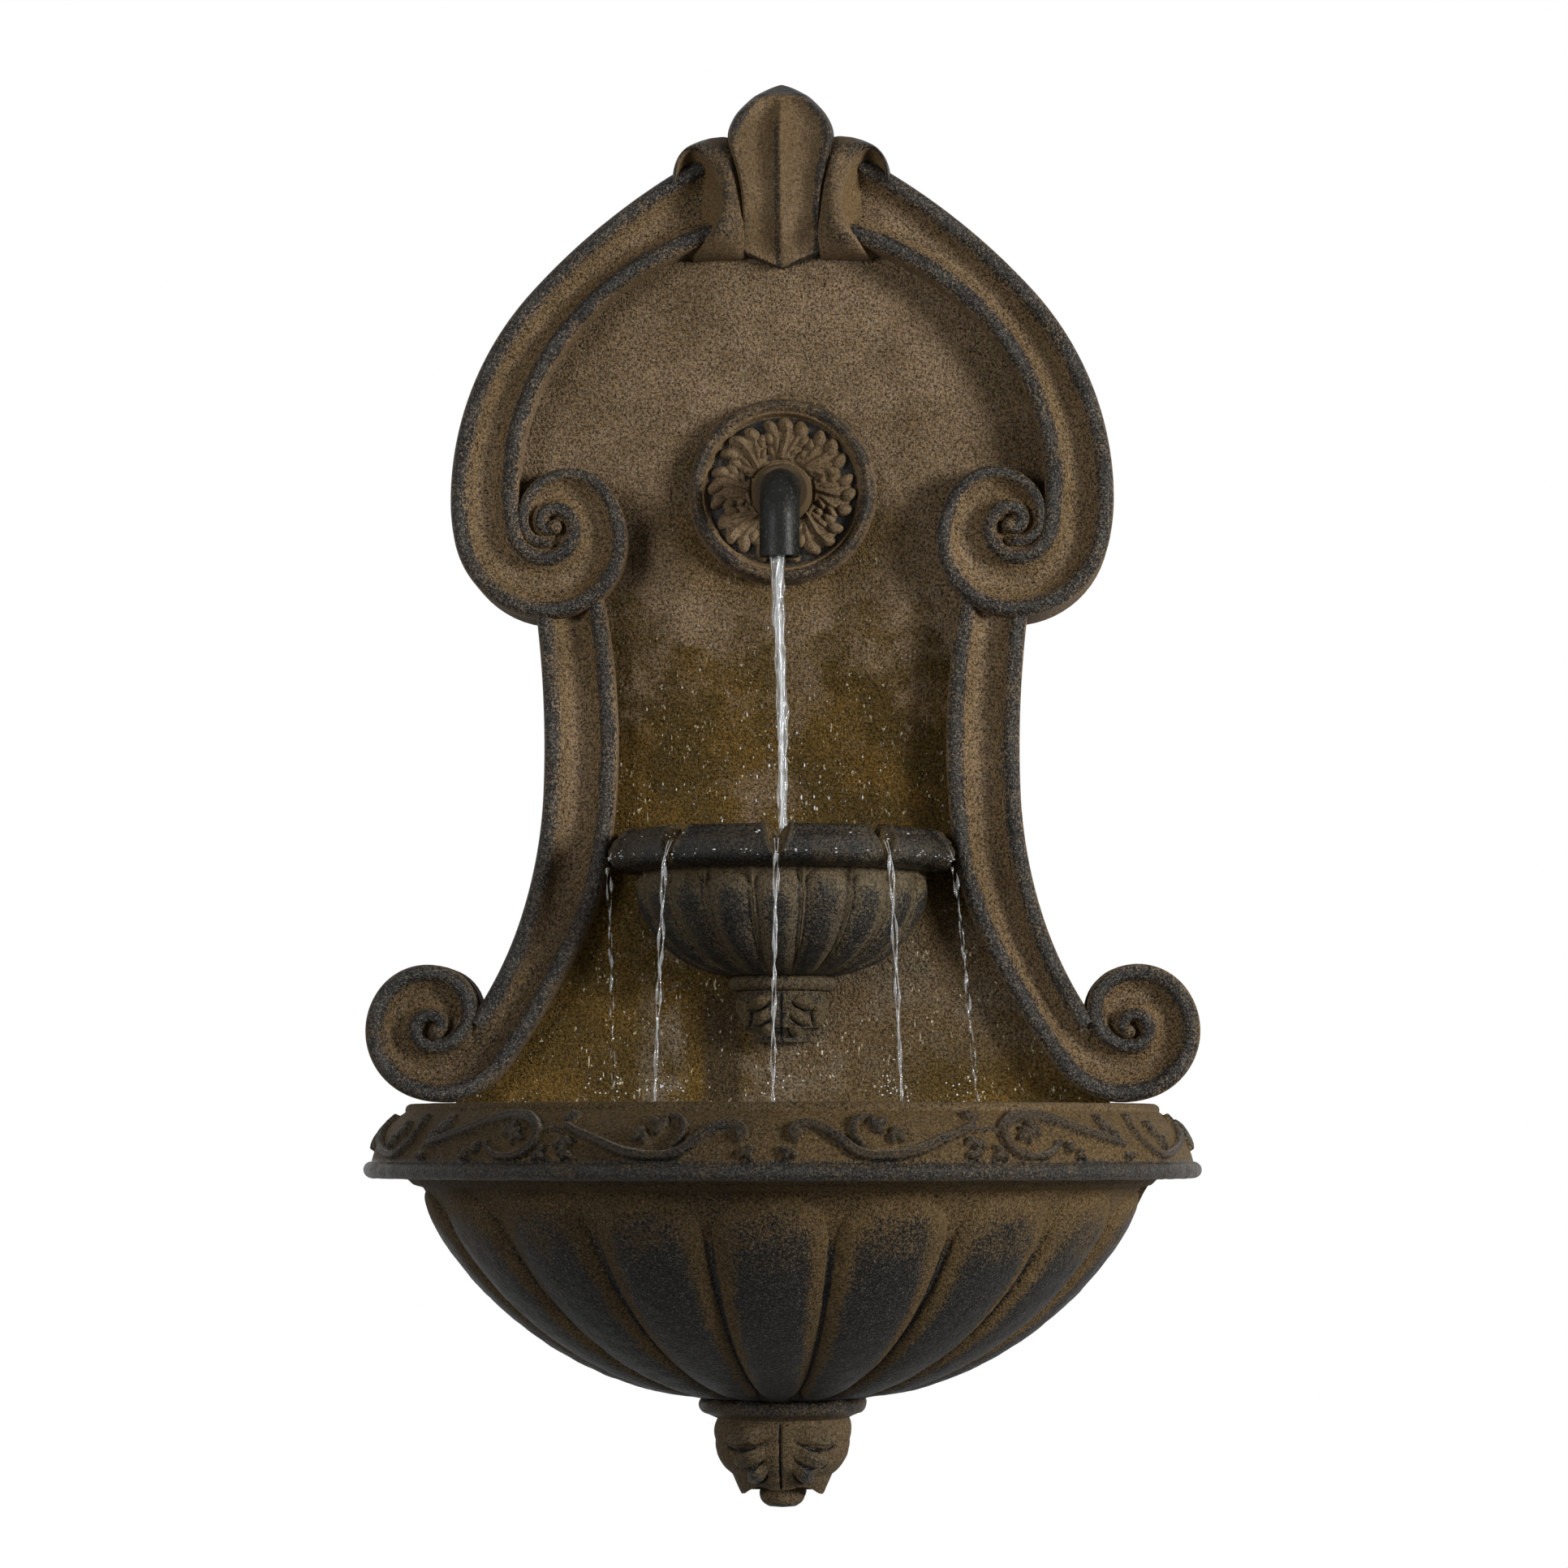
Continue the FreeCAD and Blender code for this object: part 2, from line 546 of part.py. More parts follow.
def hex_bolt(at, direction, radius, length, head_r=BOLT_HEAD_R, head_h=BOLT_HEAD_H):
    return fuse([hex_bar(at, direction * -1, head_r, head_h), rod(at, direction, radius, length)])


# Spout
def spout_tailpiece():
    shoulder_y = PLATE_BACK_Y + WASHER_T
    front = V(0, -1, 0)
    tip_y = FIELD_Y - ROSETTE_HUB_T - 16.0
    body = fuse([rod(V(0, shoulder_y, SPOUT_Z), front, SHANK_R, shoulder_y - tip_y),
                 rod(V(0, shoulder_y, SPOUT_Z), V(0, 1, 0), TAIL_FLANGE_R, 2),
                 rod(V(0, shoulder_y, SPOUT_Z), V(0, 1, 0), SHANK_R - 0.5, HOSE_Y + SHANK_R - 1.5 - shoulder_y),
                 rod(V(0, HOSE_Y, BARB_LOW_Z), V(0, 0, 1), HOSE_BORE_R - BARB_GAP, SPOUT_Z - BARB_LOW_Z)])
    bore_r = HOSE_BORE_R - 1.5
    return cut(body, [rod(V(0, tip_y, SPOUT_Z), V(0, 1, 0), bore_r, HOSE_Y - tip_y),
                      rod(V(0, HOSE_Y, BARB_LOW_Z), V(0, 0, 1), bore_r, SPOUT_Z - BARB_LOW_Z)])


def bent_pipe(radius):
    start_y = FIELD_Y - ROSETTE_HUB_T - 8.0
    axis_y = FIELD_Y - PIPE_REACH
    bend_y = axis_y + PIPE_BEND_R
    circle = Part.Face(Part.Wire(Part.Circle(V(0, bend_y, SPOUT_Z), V(0, 1, 0), radius).toShape()))
    bend = circle.revolve(V(0, bend_y, SPOUT_Z - PIPE_BEND_R), V(1, 0, 0), 90)
    return fuse([rod(V(0, start_y, SPOUT_Z), V(0, -1, 0), radius, start_y - bend_y), bend,
                 rod(V(0, axis_y, SPOUT_Z - PIPE_DROP), V(0, 0, 1), radius, PIPE_DROP - PIPE_BEND_R)])


def spout_pipe():
    return bent_pipe(PIPE_R).cut(bent_pipe(SHANK_R))


def spout_collar():
    back_y = FIELD_Y - ROSETTE_HUB_T
    front = V(0, -1, 0)
    outer_r, depth = PIPE_R + 6.5, 12.0
    body = rod(V(0, back_y, SPOUT_Z), front, outer_r, depth, outer_r - 3)
    return cut(body, [rod(V(0, back_y, SPOUT_Z), front, outer_r - 4.5, 7),
                      rod(V(0, back_y, SPOUT_Z), front, PIPE_R, depth)])


def hose_solid(radius):
    """The hose's path in the middle plane: up from the pump, back through the tongue and up behind the field."""
    low, high = PUMP_TOP_Z + 1.0, BARB_TOP_Z - 1.0
    turn_low, turn_high = V(0, OUTLET_Y, -62.0), V(0, HOSE_Y, -36.0)
    bend_low, bend_high = 36.0, 42.0
    slope = (turn_high - turn_low).normalize()
    angle = math.acos(slope.z)
    parts = []
    ends = []
    for corner, bend_r, flip in ((turn_low, bend_low, 1), (turn_high, bend_high, -1)):
        tangent = bend_r * math.tan(angle / 2)
        before = corner - V(0, 0, tangent) if flip == 1 else corner - slope * tangent
        after = corner + slope * tangent if flip == 1 else corner + V(0, 0, tangent)
        along = V(0, 0, 1) if flip == 1 else slope
        centre = before + V(0, along.z, -along.y) * bend_r * flip
        circle = Part.Face(Part.Wire(Part.Circle(before, along, radius).toShape()))
        parts.append(circle.revolve(centre, V(-flip, 0, 0), math.degrees(angle)))
        ends.append((before, after))
    first, second = ends
    parts.append(rod(V(0, OUTLET_Y, low), V(0, 0, 1), radius, first[0].z - low))
    parts.append(rod(first[1], slope, radius, first[1].distanceToPoint(second[0])))
    parts.append(rod(second[1], V(0, 0, 1), radius, high - second[1].z))
    return fuse(parts)


def supply_hose():
    return hose_solid(HOSE_R).cut(hose_solid(HOSE_BORE_R))


def hose_clamp(y, z):
    width, band = 8.0, 1.0
    return tube(V(0, y, z), V(0, 0, 1), HOSE_R + band, HOSE_R, width)


def hose_clip(z):
    outer = HOSE_R + CLIP_T
    foot = CLIP_SCREW_X + 5.0
    low = z - CLIP_W / 2
    strap = fuse([rod(V(0, HOSE_Y, low), V(0, 0, 1), outer, CLIP_W),
                  box(-outer, outer, PLATE_BACK_Y, HOSE_Y, low, low + CLIP_W),
                  box(-foot, foot, PLATE_BACK_Y, PLATE_BACK_Y + CLIP_T, low, low + CLIP_W)])
    tools = [rod(V(0, HOSE_Y, low), V(0, 0, 1), HOSE_R, CLIP_W),
             box(-HOSE_R, HOSE_R, PLATE_BACK_Y, HOSE_Y, low, low + CLIP_W)]
    tools += [rod(V(s * CLIP_SCREW_X, PLATE_BACK_Y, z), V(0, 1, 0), SCREW_R, CLIP_T) for s in (-1, 1)]
    return cut(strap, tools)


# Upper bowl and its bracket
def bowl_face(wall, floor_z):
    """Half profile of the upper bowl's outside, or of its inside with a wall above 0."""
    body_r = BOWL_R - BOWL_OVERHANG
    shoulder_z = BOWL_LIP_Z - BOWL_LIP_H
    if wall == 0:
        return outline([(0, floor_z), (BOWL_BASE_R, floor_z), (body_r, shoulder_z, BOWL_BULGE),
                        (BOWL_R - 8, shoulder_z + 1), (BOWL_R, shoulder_z + 10, 2.5),
                        (BOWL_R - 6, BOWL_LIP_Z - 5, 1.5), (BOWL_R - 14, BOWL_LIP_Z, 1.5), (0, BOWL_LIP_Z)])
    return outline([(0, floor_z), (BOWL_BASE_R - wall / 2, floor_z), (body_r - wall, shoulder_z, BOWL_BULGE - 1),
                    (BOWL_R - 20.0, BOWL_LIP_Z), (0, BOWL_LIP_Z)])


def upper_bowl():
    outside = half_round(bowl_face(0, BOWL_BASE_Z), FIELD_Y)
    inside = half_round(bowl_face(BOWL_WALL, BOWL_BASE_Z + BOWL_WALL), FIELD_Y)
    inside = inside.cut(box(-BOWL_R, BOWL_R, FIELD_Y - BOWL_WALL, FIELD_Y, 0, BOWL_LIP_Z + 1))
    bowl = outside.cut(inside)
    tools = []
    for angle in NOTCH_ANGLES:
        notch = outline([(-NOTCH_W / 2, BOWL_LIP_Z + 1), (0, BOWL_LIP_Z - NOTCH_DEPTH),
                         (NOTCH_W / 2, BOWL_LIP_Z + 1)])
        wedge = notch.translated(V(0, -BOWL_R - 5, 0)).extrude(V(0, NOTCH_LENGTH, 0))
        wedge.rotate(V(0, 0, 0), V(0, 0, 1), angle)
        tools.append(wedge.translated(V(0, FIELD_Y, 0)))
    tools += [rod(V(x, FIELD_Y, BOWL_BOLT_Z), V(0, -1, 0), INSERT_R, BOWL_WALL - 1) for x in BOWL_BOLT_X]
    side_x = min(-BOWL_R, BOWL_SIDE_X) - 1
    tools += both_sides([box(side_x, BOWL_SIDE_X, SIDE_BEAD_Y - 0.5, FIELD_Y, BOWL_BASE_Z, BOWL_LIP_Z)])
    bowl = cut(bowl, tools)
    shoulder = (BOWL_R - BOWL_OVERHANG, BOWL_LIP_Z - BOWL_LIP_H)
    return cut(bowl, grooves((BOWL_BASE_R, BOWL_BASE_Z), shoulder, BOWL_BULGE, BOWL_GROOVE_R))


def circle_of(a, b, rise):
    """Centre and radius of the arc from a to b that rises to the right of its chord."""
    chord = math.hypot(b[0] - a[0], b[1] - a[1])
    radius = (chord * chord / 4 + rise * rise) / (2 * rise)
    ux, uz = (b[0] - a[0]) / chord, (b[1] - a[1]) / chord
    mx, mz = (a[0] + b[0]) / 2, (a[1] + b[1]) / 2
    return (mx - uz * (radius - rise), mz + ux * (radius - rise)), radius


def grooves(low, high, rise, groove_r):
    """Round grooves along the bowl's meridians, which leave a lobe between each two."""
    (cr, cz), radius = circle_of(low, high, rise)
    groove = Part.makeTorus(radius, groove_r, V(cr, 0, cz), V(0, 1, 0))
    below = box(0, radius + cr + 20, -20, 20, low[1] - 20, high[1] - 4)
    outward = box(max(cr, 8.0), radius + cr + 20, -20, 20, low[1] - 20, high[1])
    groove = groove.common(below).common(outward)
    count = int(90 / LOBE_PITCH + 0.5)
    tools = []
    for i in range(-count, count):
        turned = groove.copy()
        turned.rotate(V(0, 0, 0), V(0, 0, 1), -90 + LOBE_PITCH * (i + 0.5))
        tools.append(turned.translated(V(0, FIELD_Y, 0)))
    return tools


def upper_corbel():
    collar_h, foot_r = 9.0, 8.0
    top = BOWL_BASE_Z
    face = outline([(0, top), (BOWL_BASE_R - 3, top), (BOWL_BASE_R - 3, top - collar_h, -3.5),
                    (24.0, top - collar_h), (25.0, top - 16.0, -1.0), (15.0, top - 34.0, 1.5),
                    (foot_r, top - 40.0, -1.5), (0, top - 40.0)])
    holes = [rod(V(x, FIELD_Y, CORBEL_SCREW_Z), V(0, -1, 0), SCREW_R, 14) for x in CORBEL_SCREW_X]
    return cut(half_round(face, FIELD_Y), holes)


# Lower basin and its finial
def basin_profiles():
    top_r = BASIN_R - LIP_OVERHANG
    inner_r = top_r - 5.0
    bead_r = 5.0
    land_r = inner_r + RIM_LAND_W
    outside = outline([(0, BASIN_BASE_Z), (BASIN_BASE_R, BASIN_BASE_Z), (top_r, -BOWL_TOP_DROP, BASIN_BULGE),
                       (top_r + 4, -BEAD_DROP - 8), (BASIN_R - bead_r - 2, -BEAD_DROP - bead_r, -4.0),
                       (BASIN_R - bead_r, -BEAD_DROP - bead_r), (BASIN_R - bead_r, -BEAD_DROP + bead_r, bead_r),
                       (BASIN_R - 5.5, -BEAD_DROP + bead_r), (land_r + 4, -5.0, 3.5), (land_r + 1, 0), (0, 0)])
    inside = outline([(0, BASIN_FLOOR_Z), (inner_radius(BASIN_FLOOR_Z), BASIN_FLOOR_Z),
                      (top_r - BASIN_WALL, -BOWL_TOP_DROP, inner_rise(top_r)), (inner_r, -BEAD_DROP),
                      (inner_r, 0), (0, 0)])
    return outside, inside


def basin_arc():
    return circle_of((BASIN_BASE_R, BASIN_BASE_Z), (BASIN_R - LIP_OVERHANG, -BOWL_TOP_DROP), BASIN_BULGE)


def inner_radius(z):
    """Radius of the basin's inside at a height, one wall inside the outer arc."""
    (cr, cz), radius = basin_arc()
    return cr + math.sqrt((radius - BASIN_WALL) ** 2 - (z - cz) ** 2)


def inner_rise(top_r):
    (cr, cz), radius = basin_arc()
    chord = math.hypot(top_r - BASIN_WALL - inner_radius(BASIN_FLOOR_Z), BASIN_FLOOR_Z + BOWL_TOP_DROP)
    r = radius - BASIN_WALL
    return r - math.sqrt(r * r - chord * chord / 4)


def basin():
    outside, inside = basin_profiles()
    body = half_round(outside, 0).cut(half_round(inside, -BASIN_BACK_T))
    body = cut(body, grooves((BASIN_BASE_R, BASIN_BASE_Z), (BASIN_R - LIP_OVERHANG, -BOWL_TOP_DROP), BASIN_BULGE,
                             GROOVE_R))
    tools = [rod(V(x, -BASIN_BACK_T, BOLT_ROW_Z), V(0, 1, 0), INSERT_R, BASIN_BACK_T - 1) for x in BOLT_ROW_X]
    floor = V(0, FINIAL_BOLT_Y, BASIN_FLOOR_Z)
    tools.append(rod(floor, V(0, 0, -1), FINIAL_POCKET_R, FINIAL_POCKET_DEPTH))
    tools.append(rod(floor, V(0, 0, -1), FINIAL_BOLT_R + 0.3, BASIN_FLOOR_T))
    return cut(body, tools)


def basin_finial():
    top = BASIN_BASE_Z
    face = outline([(0, top), (BASIN_BASE_R - 4, top), (BASIN_BASE_R - 4.5, top - 9, -4.5), (39, top - 12),
                    (40, top - 25, -1.5), (30, top - 45, -3.0), (26, top - 57), (12.0, top - 55),
                    (9, top - 65, -3.0), (0, top - 65)])
    body = half_round(face, 0)
    hole = rod(V(0, FINIAL_BOLT_Y, top), V(0, 0, -1), FINIAL_BOLT_R + 0.3, FINIAL_INSERT_TOP + FINIAL_INSERT_H)
    seat = rod(V(0, FINIAL_BOLT_Y, top - FINIAL_INSERT_TOP), V(0, 0, -1), FINIAL_INSERT_R, FINIAL_INSERT_H)
    return cut(body, [hole, seat])


# Pump
def pump_box(grow, y0, y1):
    return box(-PUMP_HALF_W - grow, PUMP_HALF_W + grow, y0, y1, PUMP_BOTTOM_Z - grow, PUMP_TOP_Z + grow)


def pump_pocket(y0, y1, gap=0.0):
    return box(-POCKET_HALF_W + gap, POCKET_HALF_W - gap, y0, y1, PUMP_BOTTOM_Z + POCKET_MARGIN + gap,
               PUMP_TOP_Z - POCKET_MARGIN - gap)


def well_tube(radius, y0, y1):
    return rod(V(0, y0, IMPELLER_Z), V(0, 1, 0), radius, y1 - y0)


def pump_body():
    nose_y = PUMP_FRONT_Y + PUMP_COVER_OVERLAP
    inset = PUMP_SHELL + SLIDE_GAP
    main = pump_box(0, nose_y, PUMP_REAR_Y)
    main = main.makeFillet(3.0, [e for e in main.Edges if abs(e.tangentAt(e.FirstParameter).y) > 0.9])
    body = fuse([main, pump_box(-inset, PUMP_FRONT_Y, nose_y)])
    riser_z = PUMP_TOP_Z - inset
    riser_r = HOSE_BORE_R - BARB_GAP
    body = fuse([body, rod(V(0, OUTLET_Y, riser_z), V(0, 0, 1), riser_r, OUTLET_TOP_Z - riser_z)])
    body = body.cut(pump_pocket(POCKET_FRONT_Y, PUMP_REAR_Y))
    body = fuse([body, well_tube(WELL_R + WELL_WALL, POCKET_FRONT_Y - 1, WELL_END_Y)])
    outlet_bore = rod(V(0, OUTLET_Y, IMPELLER_Z), V(0, 0, 1), HOSE_BORE_R - 1.5, OUTLET_TOP_Z - IMPELLER_Z)
    return cut(body, [well_tube(CHAMBER_R, PUMP_FRONT_Y, CHAMBER_BACK_Y), outlet_bore,
                      well_tube(WELL_R, CHAMBER_BACK_Y, WELL_END_Y - 2),
                      well_tube(SHAFT_R, WELL_END_Y - 2, SHAFT_END_Y)])


def pump_stator():
    core = pump_pocket(STATOR_FRONT_Y, STATOR_BACK_Y, STATOR_GAP)
    return core.cut(well_tube(WELL_R + WELL_WALL + STATOR_GAP, STATOR_FRONT_Y, STATOR_BACK_Y))


def pump_potting():
    fill = pump_pocket(STATOR_BACK_Y, PUMP_REAR_Y).cut(well_tube(WELL_R + WELL_WALL, STATOR_BACK_Y, WELL_END_Y))
    return fill.cut(rod(V(GLAND_AT[0], PUMP_REAR_Y, IMPELLER_Z + GLAND_AT[1]), V(0, -1, 0), GLAND_R, 6))


def pump_cord_gland():
    x, z = GLAND_AT[0], IMPELLER_Z + GLAND_AT[1]
    seat, stand, bore_r = 6.0, 7.0, 2.6
    body = fuse([rod(V(x, PUMP_REAR_Y - seat, z), V(0, 1, 0), GLAND_R, seat + 2),
                 rod(V(x, PUMP_REAR_Y + 2, z), V(0, 1, 0), GLAND_R, stand - 2, GLAND_R - 1)])
    return body.cut(rod(V(x, PUMP_REAR_Y - 3, z), V(0, 1, 0), bore_r, stand + 3))


def pump_feet():
    feet = []
    for x in (-18.0, 18.0):
        for y in (PUMP_REAR_Y - 8, PUMP_REAR_Y - 30):
            cup = rod(V(x, y, BASIN_FLOOR_Z), V(0, 0, 1), 6.0, PUMP_FOOT_H / 2, 3.0)
            feet.append(fuse([cup, rod(V(x, y, BASIN_FLOOR_Z), V(0, 0, 1), 3.0, PUMP_FOOT_H)]))
    return feet


def pump_impeller_cover():
    thickness, inlet_r, inlet_ring_r = 3.0, 2.2, 5.6
    disc = rod(V(0, PUMP_FRONT_Y, IMPELLER_Z), V(0, -1, 0), CHAMBER_R + 3, thickness)
    tools = [rod(V(0, PUMP_FRONT_Y, IMPELLER_Z), V(0, -1, 0), SHAFT_R, 2)]
    for i in range(6):
        a = math.radians(60 * i)
        tools.append(rod(V(inlet_ring_r * math.cos(a), PUMP_FRONT_Y, IMPELLER_Z + inlet_ring_r * math.sin(a)),
                         V(0, -1, 0), inlet_r, thickness))
    return cut(disc, tools)


def pump_shaft():
    return well_tube(SHAFT_R, PUMP_FRONT_Y - 2, SHAFT_END_Y)


def pump_impeller():
    blade_count, blade_t, hub_r = 6, 1.5, 4.0
    front_y, back_y = PUMP_FRONT_Y + 1.5, CHAMBER_BACK_Y - 1.0
    disc_t = 1.2
    parts = [well_tube(hub_r, front_y, back_y), well_tube(IMPELLER_R, back_y - disc_t, back_y),
             well_tube(ROTOR_R, back_y, WELL_END_Y - 3)]
    for i in range(blade_count):
        blade = box(0, IMPELLER_R - 0.4, front_y, back_y, IMPELLER_Z - blade_t / 2, IMPELLER_Z + blade_t / 2)
        blade.rotate(V(0, 0, IMPELLER_Z), V(0, 1, 0), 360.0 / blade_count * i)
        parts.append(blade)
    return fuse(parts).cut(well_tube(SHAFT_R + RUNNING_GAP, front_y, WELL_END_Y - 3))


def pump_intake_cover():
    rear_y = PUMP_FRONT_Y + PUMP_COVER_OVERLAP - SLIDE_GAP
    shell = pump_box(0, COVER_SHELL_Y, rear_y)
    edges = [e for e in shell.Edges if abs(e.tangentAt(e.FirstParameter).y) > 0.9]
    shell = shell.makeFillet(2.0, edges)
    inside = box(-PUMP_HALF_W + PUMP_SHELL, PUMP_HALF_W - PUMP_SHELL, COVER_SHELL_Y + PUMP_SHELL, rear_y,
                 PUMP_BOTTOM_Z + PUMP_SHELL, PUMP_TOP_Z - PUMP_SHELL)
    notch = HOSE_R + 1.5
    tools = [inside, box(-notch, notch, OUTLET_Y - notch, rear_y, PUMP_TOP_Z - 5, PUMP_TOP_Z + 1)]
    slot_w, slot_count, slot_pitch, slot_margin = 2.4, 8, 4.8, 6.0
    for i in range(slot_count):
        x = -22.0 + slot_pitch * i
        high = IMPELLER_Z - 4.0 if x > 2 else PUMP_TOP_Z - slot_margin
        low = PUMP_BOTTOM_Z + slot_margin
        tools.append(box(x, x + slot_w, COVER_SHELL_Y, COVER_SHELL_Y + PUMP_SHELL, low, high))
    dial_hole = rod(V(DIAL_AT[0], COVER_SHELL_Y, IMPELLER_Z + DIAL_AT[1]), V(0, 1, 0), DIAL_HUB_R + RUNNING_GAP,
                    PUMP_SHELL)
    return cut(shell, tools + [dial_hole])


def pump_flow_dial():
    x, z = DIAL_AT[0], IMPELLER_Z + DIAL_AT[1]
    front = COVER_SHELL_Y - SLIDE_GAP
    behind = COVER_SHELL_Y + PUMP_SHELL + SLIDE_GAP
    rib = box(x - 1.0, x + 1.0, front - DIAL_T - 1.5, front - DIAL_T, z - DIAL_R + 1, z + DIAL_R - 1)
    return fuse([rod(V(x, front - DIAL_T, z), V(0, 1, 0), DIAL_R, DIAL_T),
                 rod(V(x, front, z), V(0, 1, 0), DIAL_HUB_R, behind - front),
                 rod(V(x, behind, z), V(0, 1, 0), DIAL_HUB_R + 1.2, 1.2), rib])


# Fasteners
def basin_fixings():
    back = V(0, 1, 0)
    face_y = FIELD_Y - WASHER_T
    places = [V(x, face_y, BOLT_ROW_Z) for x in BOLT_ROW_X]
    bolts = [hex_bolt(p, back, BOLT_R, -face_y - 1.5) for p in places]
    washers = [tube(p, back, WASHER_R, BOLT_HOLE_R, WASHER_T) for p in places]
    seats = [V(x, -BASIN_BACK_T, BOLT_ROW_Z) for x in BOLT_ROW_X]
    inserts = [tube(p, back, INSERT_R, BOLT_R, BASIN_BACK_T - 1) for p in seats]
    return bolts, washers, inserts


def bowl_fixings():
    front = V(0, -1, 0)
    seat_y = PLATE_BACK_Y + WASHER_T
    places = [V(x, seat_y, BOWL_BOLT_Z) for x in BOWL_BOLT_X]
    bolts = [hex_bolt(p, front, BOLT_R, WASHER_T + PLATE_T + BOWL_WALL - 1.5) for p in places]
    washers = [tube(p, front, WASHER_R, BOLT_HOLE_R, WASHER_T) for p in places]
    inserts = [tube(V(x, FIELD_Y, BOWL_BOLT_Z), front, INSERT_R, BOLT_R, BOWL_WALL - 1) for x in BOWL_BOLT_X]
    return bolts, washers, inserts


def finial_fixings():
    down = V(0, 0, -1)
    washer_t = 1.5
    pocket_z = BASIN_FLOOR_Z - FINIAL_POCKET_DEPTH
    seat = V(0, FINIAL_BOLT_Y, pocket_z + washer_t)
    tip_z = BASIN_BASE_Z - FINIAL_INSERT_TOP - FINIAL_INSERT_H + 2
    bolt = hex_bolt(seat, down, FINIAL_BOLT_R, seat.z - tip_z, FINIAL_HEAD_R, FINIAL_HEAD_H)
    washer = tube(seat, down, FINIAL_POCKET_R - 0.4, FINIAL_BOLT_R + 0.3, washer_t)
    insert = tube(V(0, FINIAL_BOLT_Y, BASIN_BASE_Z - FINIAL_INSERT_TOP), down, FINIAL_INSERT_R, FINIAL_BOLT_R,
                  FINIAL_INSERT_H)
    return bolt, washer, insert


def save(name, shapes):
    """Writes one node's solids, lowered to the hanging holes' frame."""
    shape = Part.makeCompound(shapes) if len(shapes) > 1 else shapes[0]
    solids = shape.Solids
    shape = Part.makeCompound(solids) if len(solids) > 1 else solids[0]
    shape = shape.translated(V(0, 0, -HANGER_Z))
    state = "valid" if shape.isValid() else "INVALID"
    print(name, len(solids), "solids", round(shape.Volume / 1000, 1), "cm3", state)
    shape.exportStep(os.path.join("parts", name + ".step"))


os.makedirs("parts", exist_ok=True)

save("backplate", [backplate()])
scroll = upper_scroll()
save("upper_scroll_left", [scroll])
save("upper_scroll_right", [mirrored(scroll)])
scroll = lower_scroll()
save("lower_scroll_left", [scroll])
save("lower_scroll_right", [mirrored(scroll)])
save("crown_leaf", [crown_leaf()])
curl = crown_curl()
save("crown_curl_left", [curl])
save("crown_curl_right", [mirrored(curl)])
save("rosette", [rosette()])
save("spout_collar", [spout_collar()])
save("spout_pipe", [spout_pipe()])
save("spout_tailpiece", [spout_tailpiece()])
save("spout_lock_nut", [hex_bar(V(0, FIELD_Y - ROSETTE_HUB_T, SPOUT_Z), V(0, -1, 0), SHANK_R + 5, 5).cut(
    rod(V(0, 0, SPOUT_Z), V(0, -1, 0), SHANK_R, 80))])
save("spout_gasket", [tube(V(0, PLATE_BACK_Y, SPOUT_Z), V(0, 1, 0), TAIL_FLANGE_R, SHANK_R, WASHER_T)])
hose = supply_hose()
ring_area = math.pi * (HOSE_R ** 2 - HOSE_BORE_R ** 2)
print("hose length from its volume", round(hose.Volume / ring_area, 1), "mm")
save("supply_hose", [hose])
save("hose_clamps", [hose_clamp(HOSE_Y, BARB_LOW_Z + 8), hose_clamp(OUTLET_Y, PUMP_TOP_Z + 4)])
save("hose_clips", [hose_clip(z) for z in CLIP_Z])
save("hose_clip_screws", [pan_screw(V(s * CLIP_SCREW_X, PLATE_BACK_Y + CLIP_T, z), V(0, -1, 0), 5.5)
                          for z in CLIP_Z for s in (-1, 1)])
save("upper_bowl", [upper_bowl()])
save("upper_corbel", [upper_corbel()])
save("corbel_screws", [pan_screw(V(x, PLATE_BACK_Y, CORBEL_SCREW_Z), V(0, -1, 0), PLATE_T + 13)
                       for x in CORBEL_SCREW_X])
for name, shapes in zip(("bolts", "washers", "inserts"), bowl_fixings()):
    save("upper_bowl_" + name, shapes)
save("basin", [basin()])
save("basin_finial", [basin_finial()])
for name, shapes in zip(("bolts", "washers", "inserts"), basin_fixings()):
    save("basin_" + name, shapes)
for name, shape in zip(("bolt", "washer", "insert"), finial_fixings()):
    save("finial_" + name, [shape])
save("rear_cover", [rear_cover()])
save("rear_cover_screws", [pan_screw(V(x, REAR_COVER_BACK_Y, z), V(0, -1, 0), 14) for x, z in boss_places()])
save("cord_grommet", [cord_grommet()])
save("hanger_plates", [hanger_plate(x, z) for x, z in hanger_centres()])
save("hanger_screws", [hanger_screw(x, z) for x, z in hanger_screw_places()])
save("pump_body", [pump_body()])
save("pump_stator", [pump_stator()])
save("pump_potting", [pump_potting()])
save("pump_cord_gland", [pump_cord_gland()])
save("pump_feet", pump_feet())
save("pump_impeller_cover", [pump_impeller_cover()])
save("pump_shaft", [pump_shaft()])
save("pump_impeller", [pump_impeller()])
save("pump_intake_cover", [pump_intake_cover()])
save("pump_flow_dial", [pump_flow_dial()])
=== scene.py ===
import json
from functools import reduce
from math import asin, atan, cos, hypot, pi, radians, sin

import bpy
import numpy as np
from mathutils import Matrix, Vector, kdtree


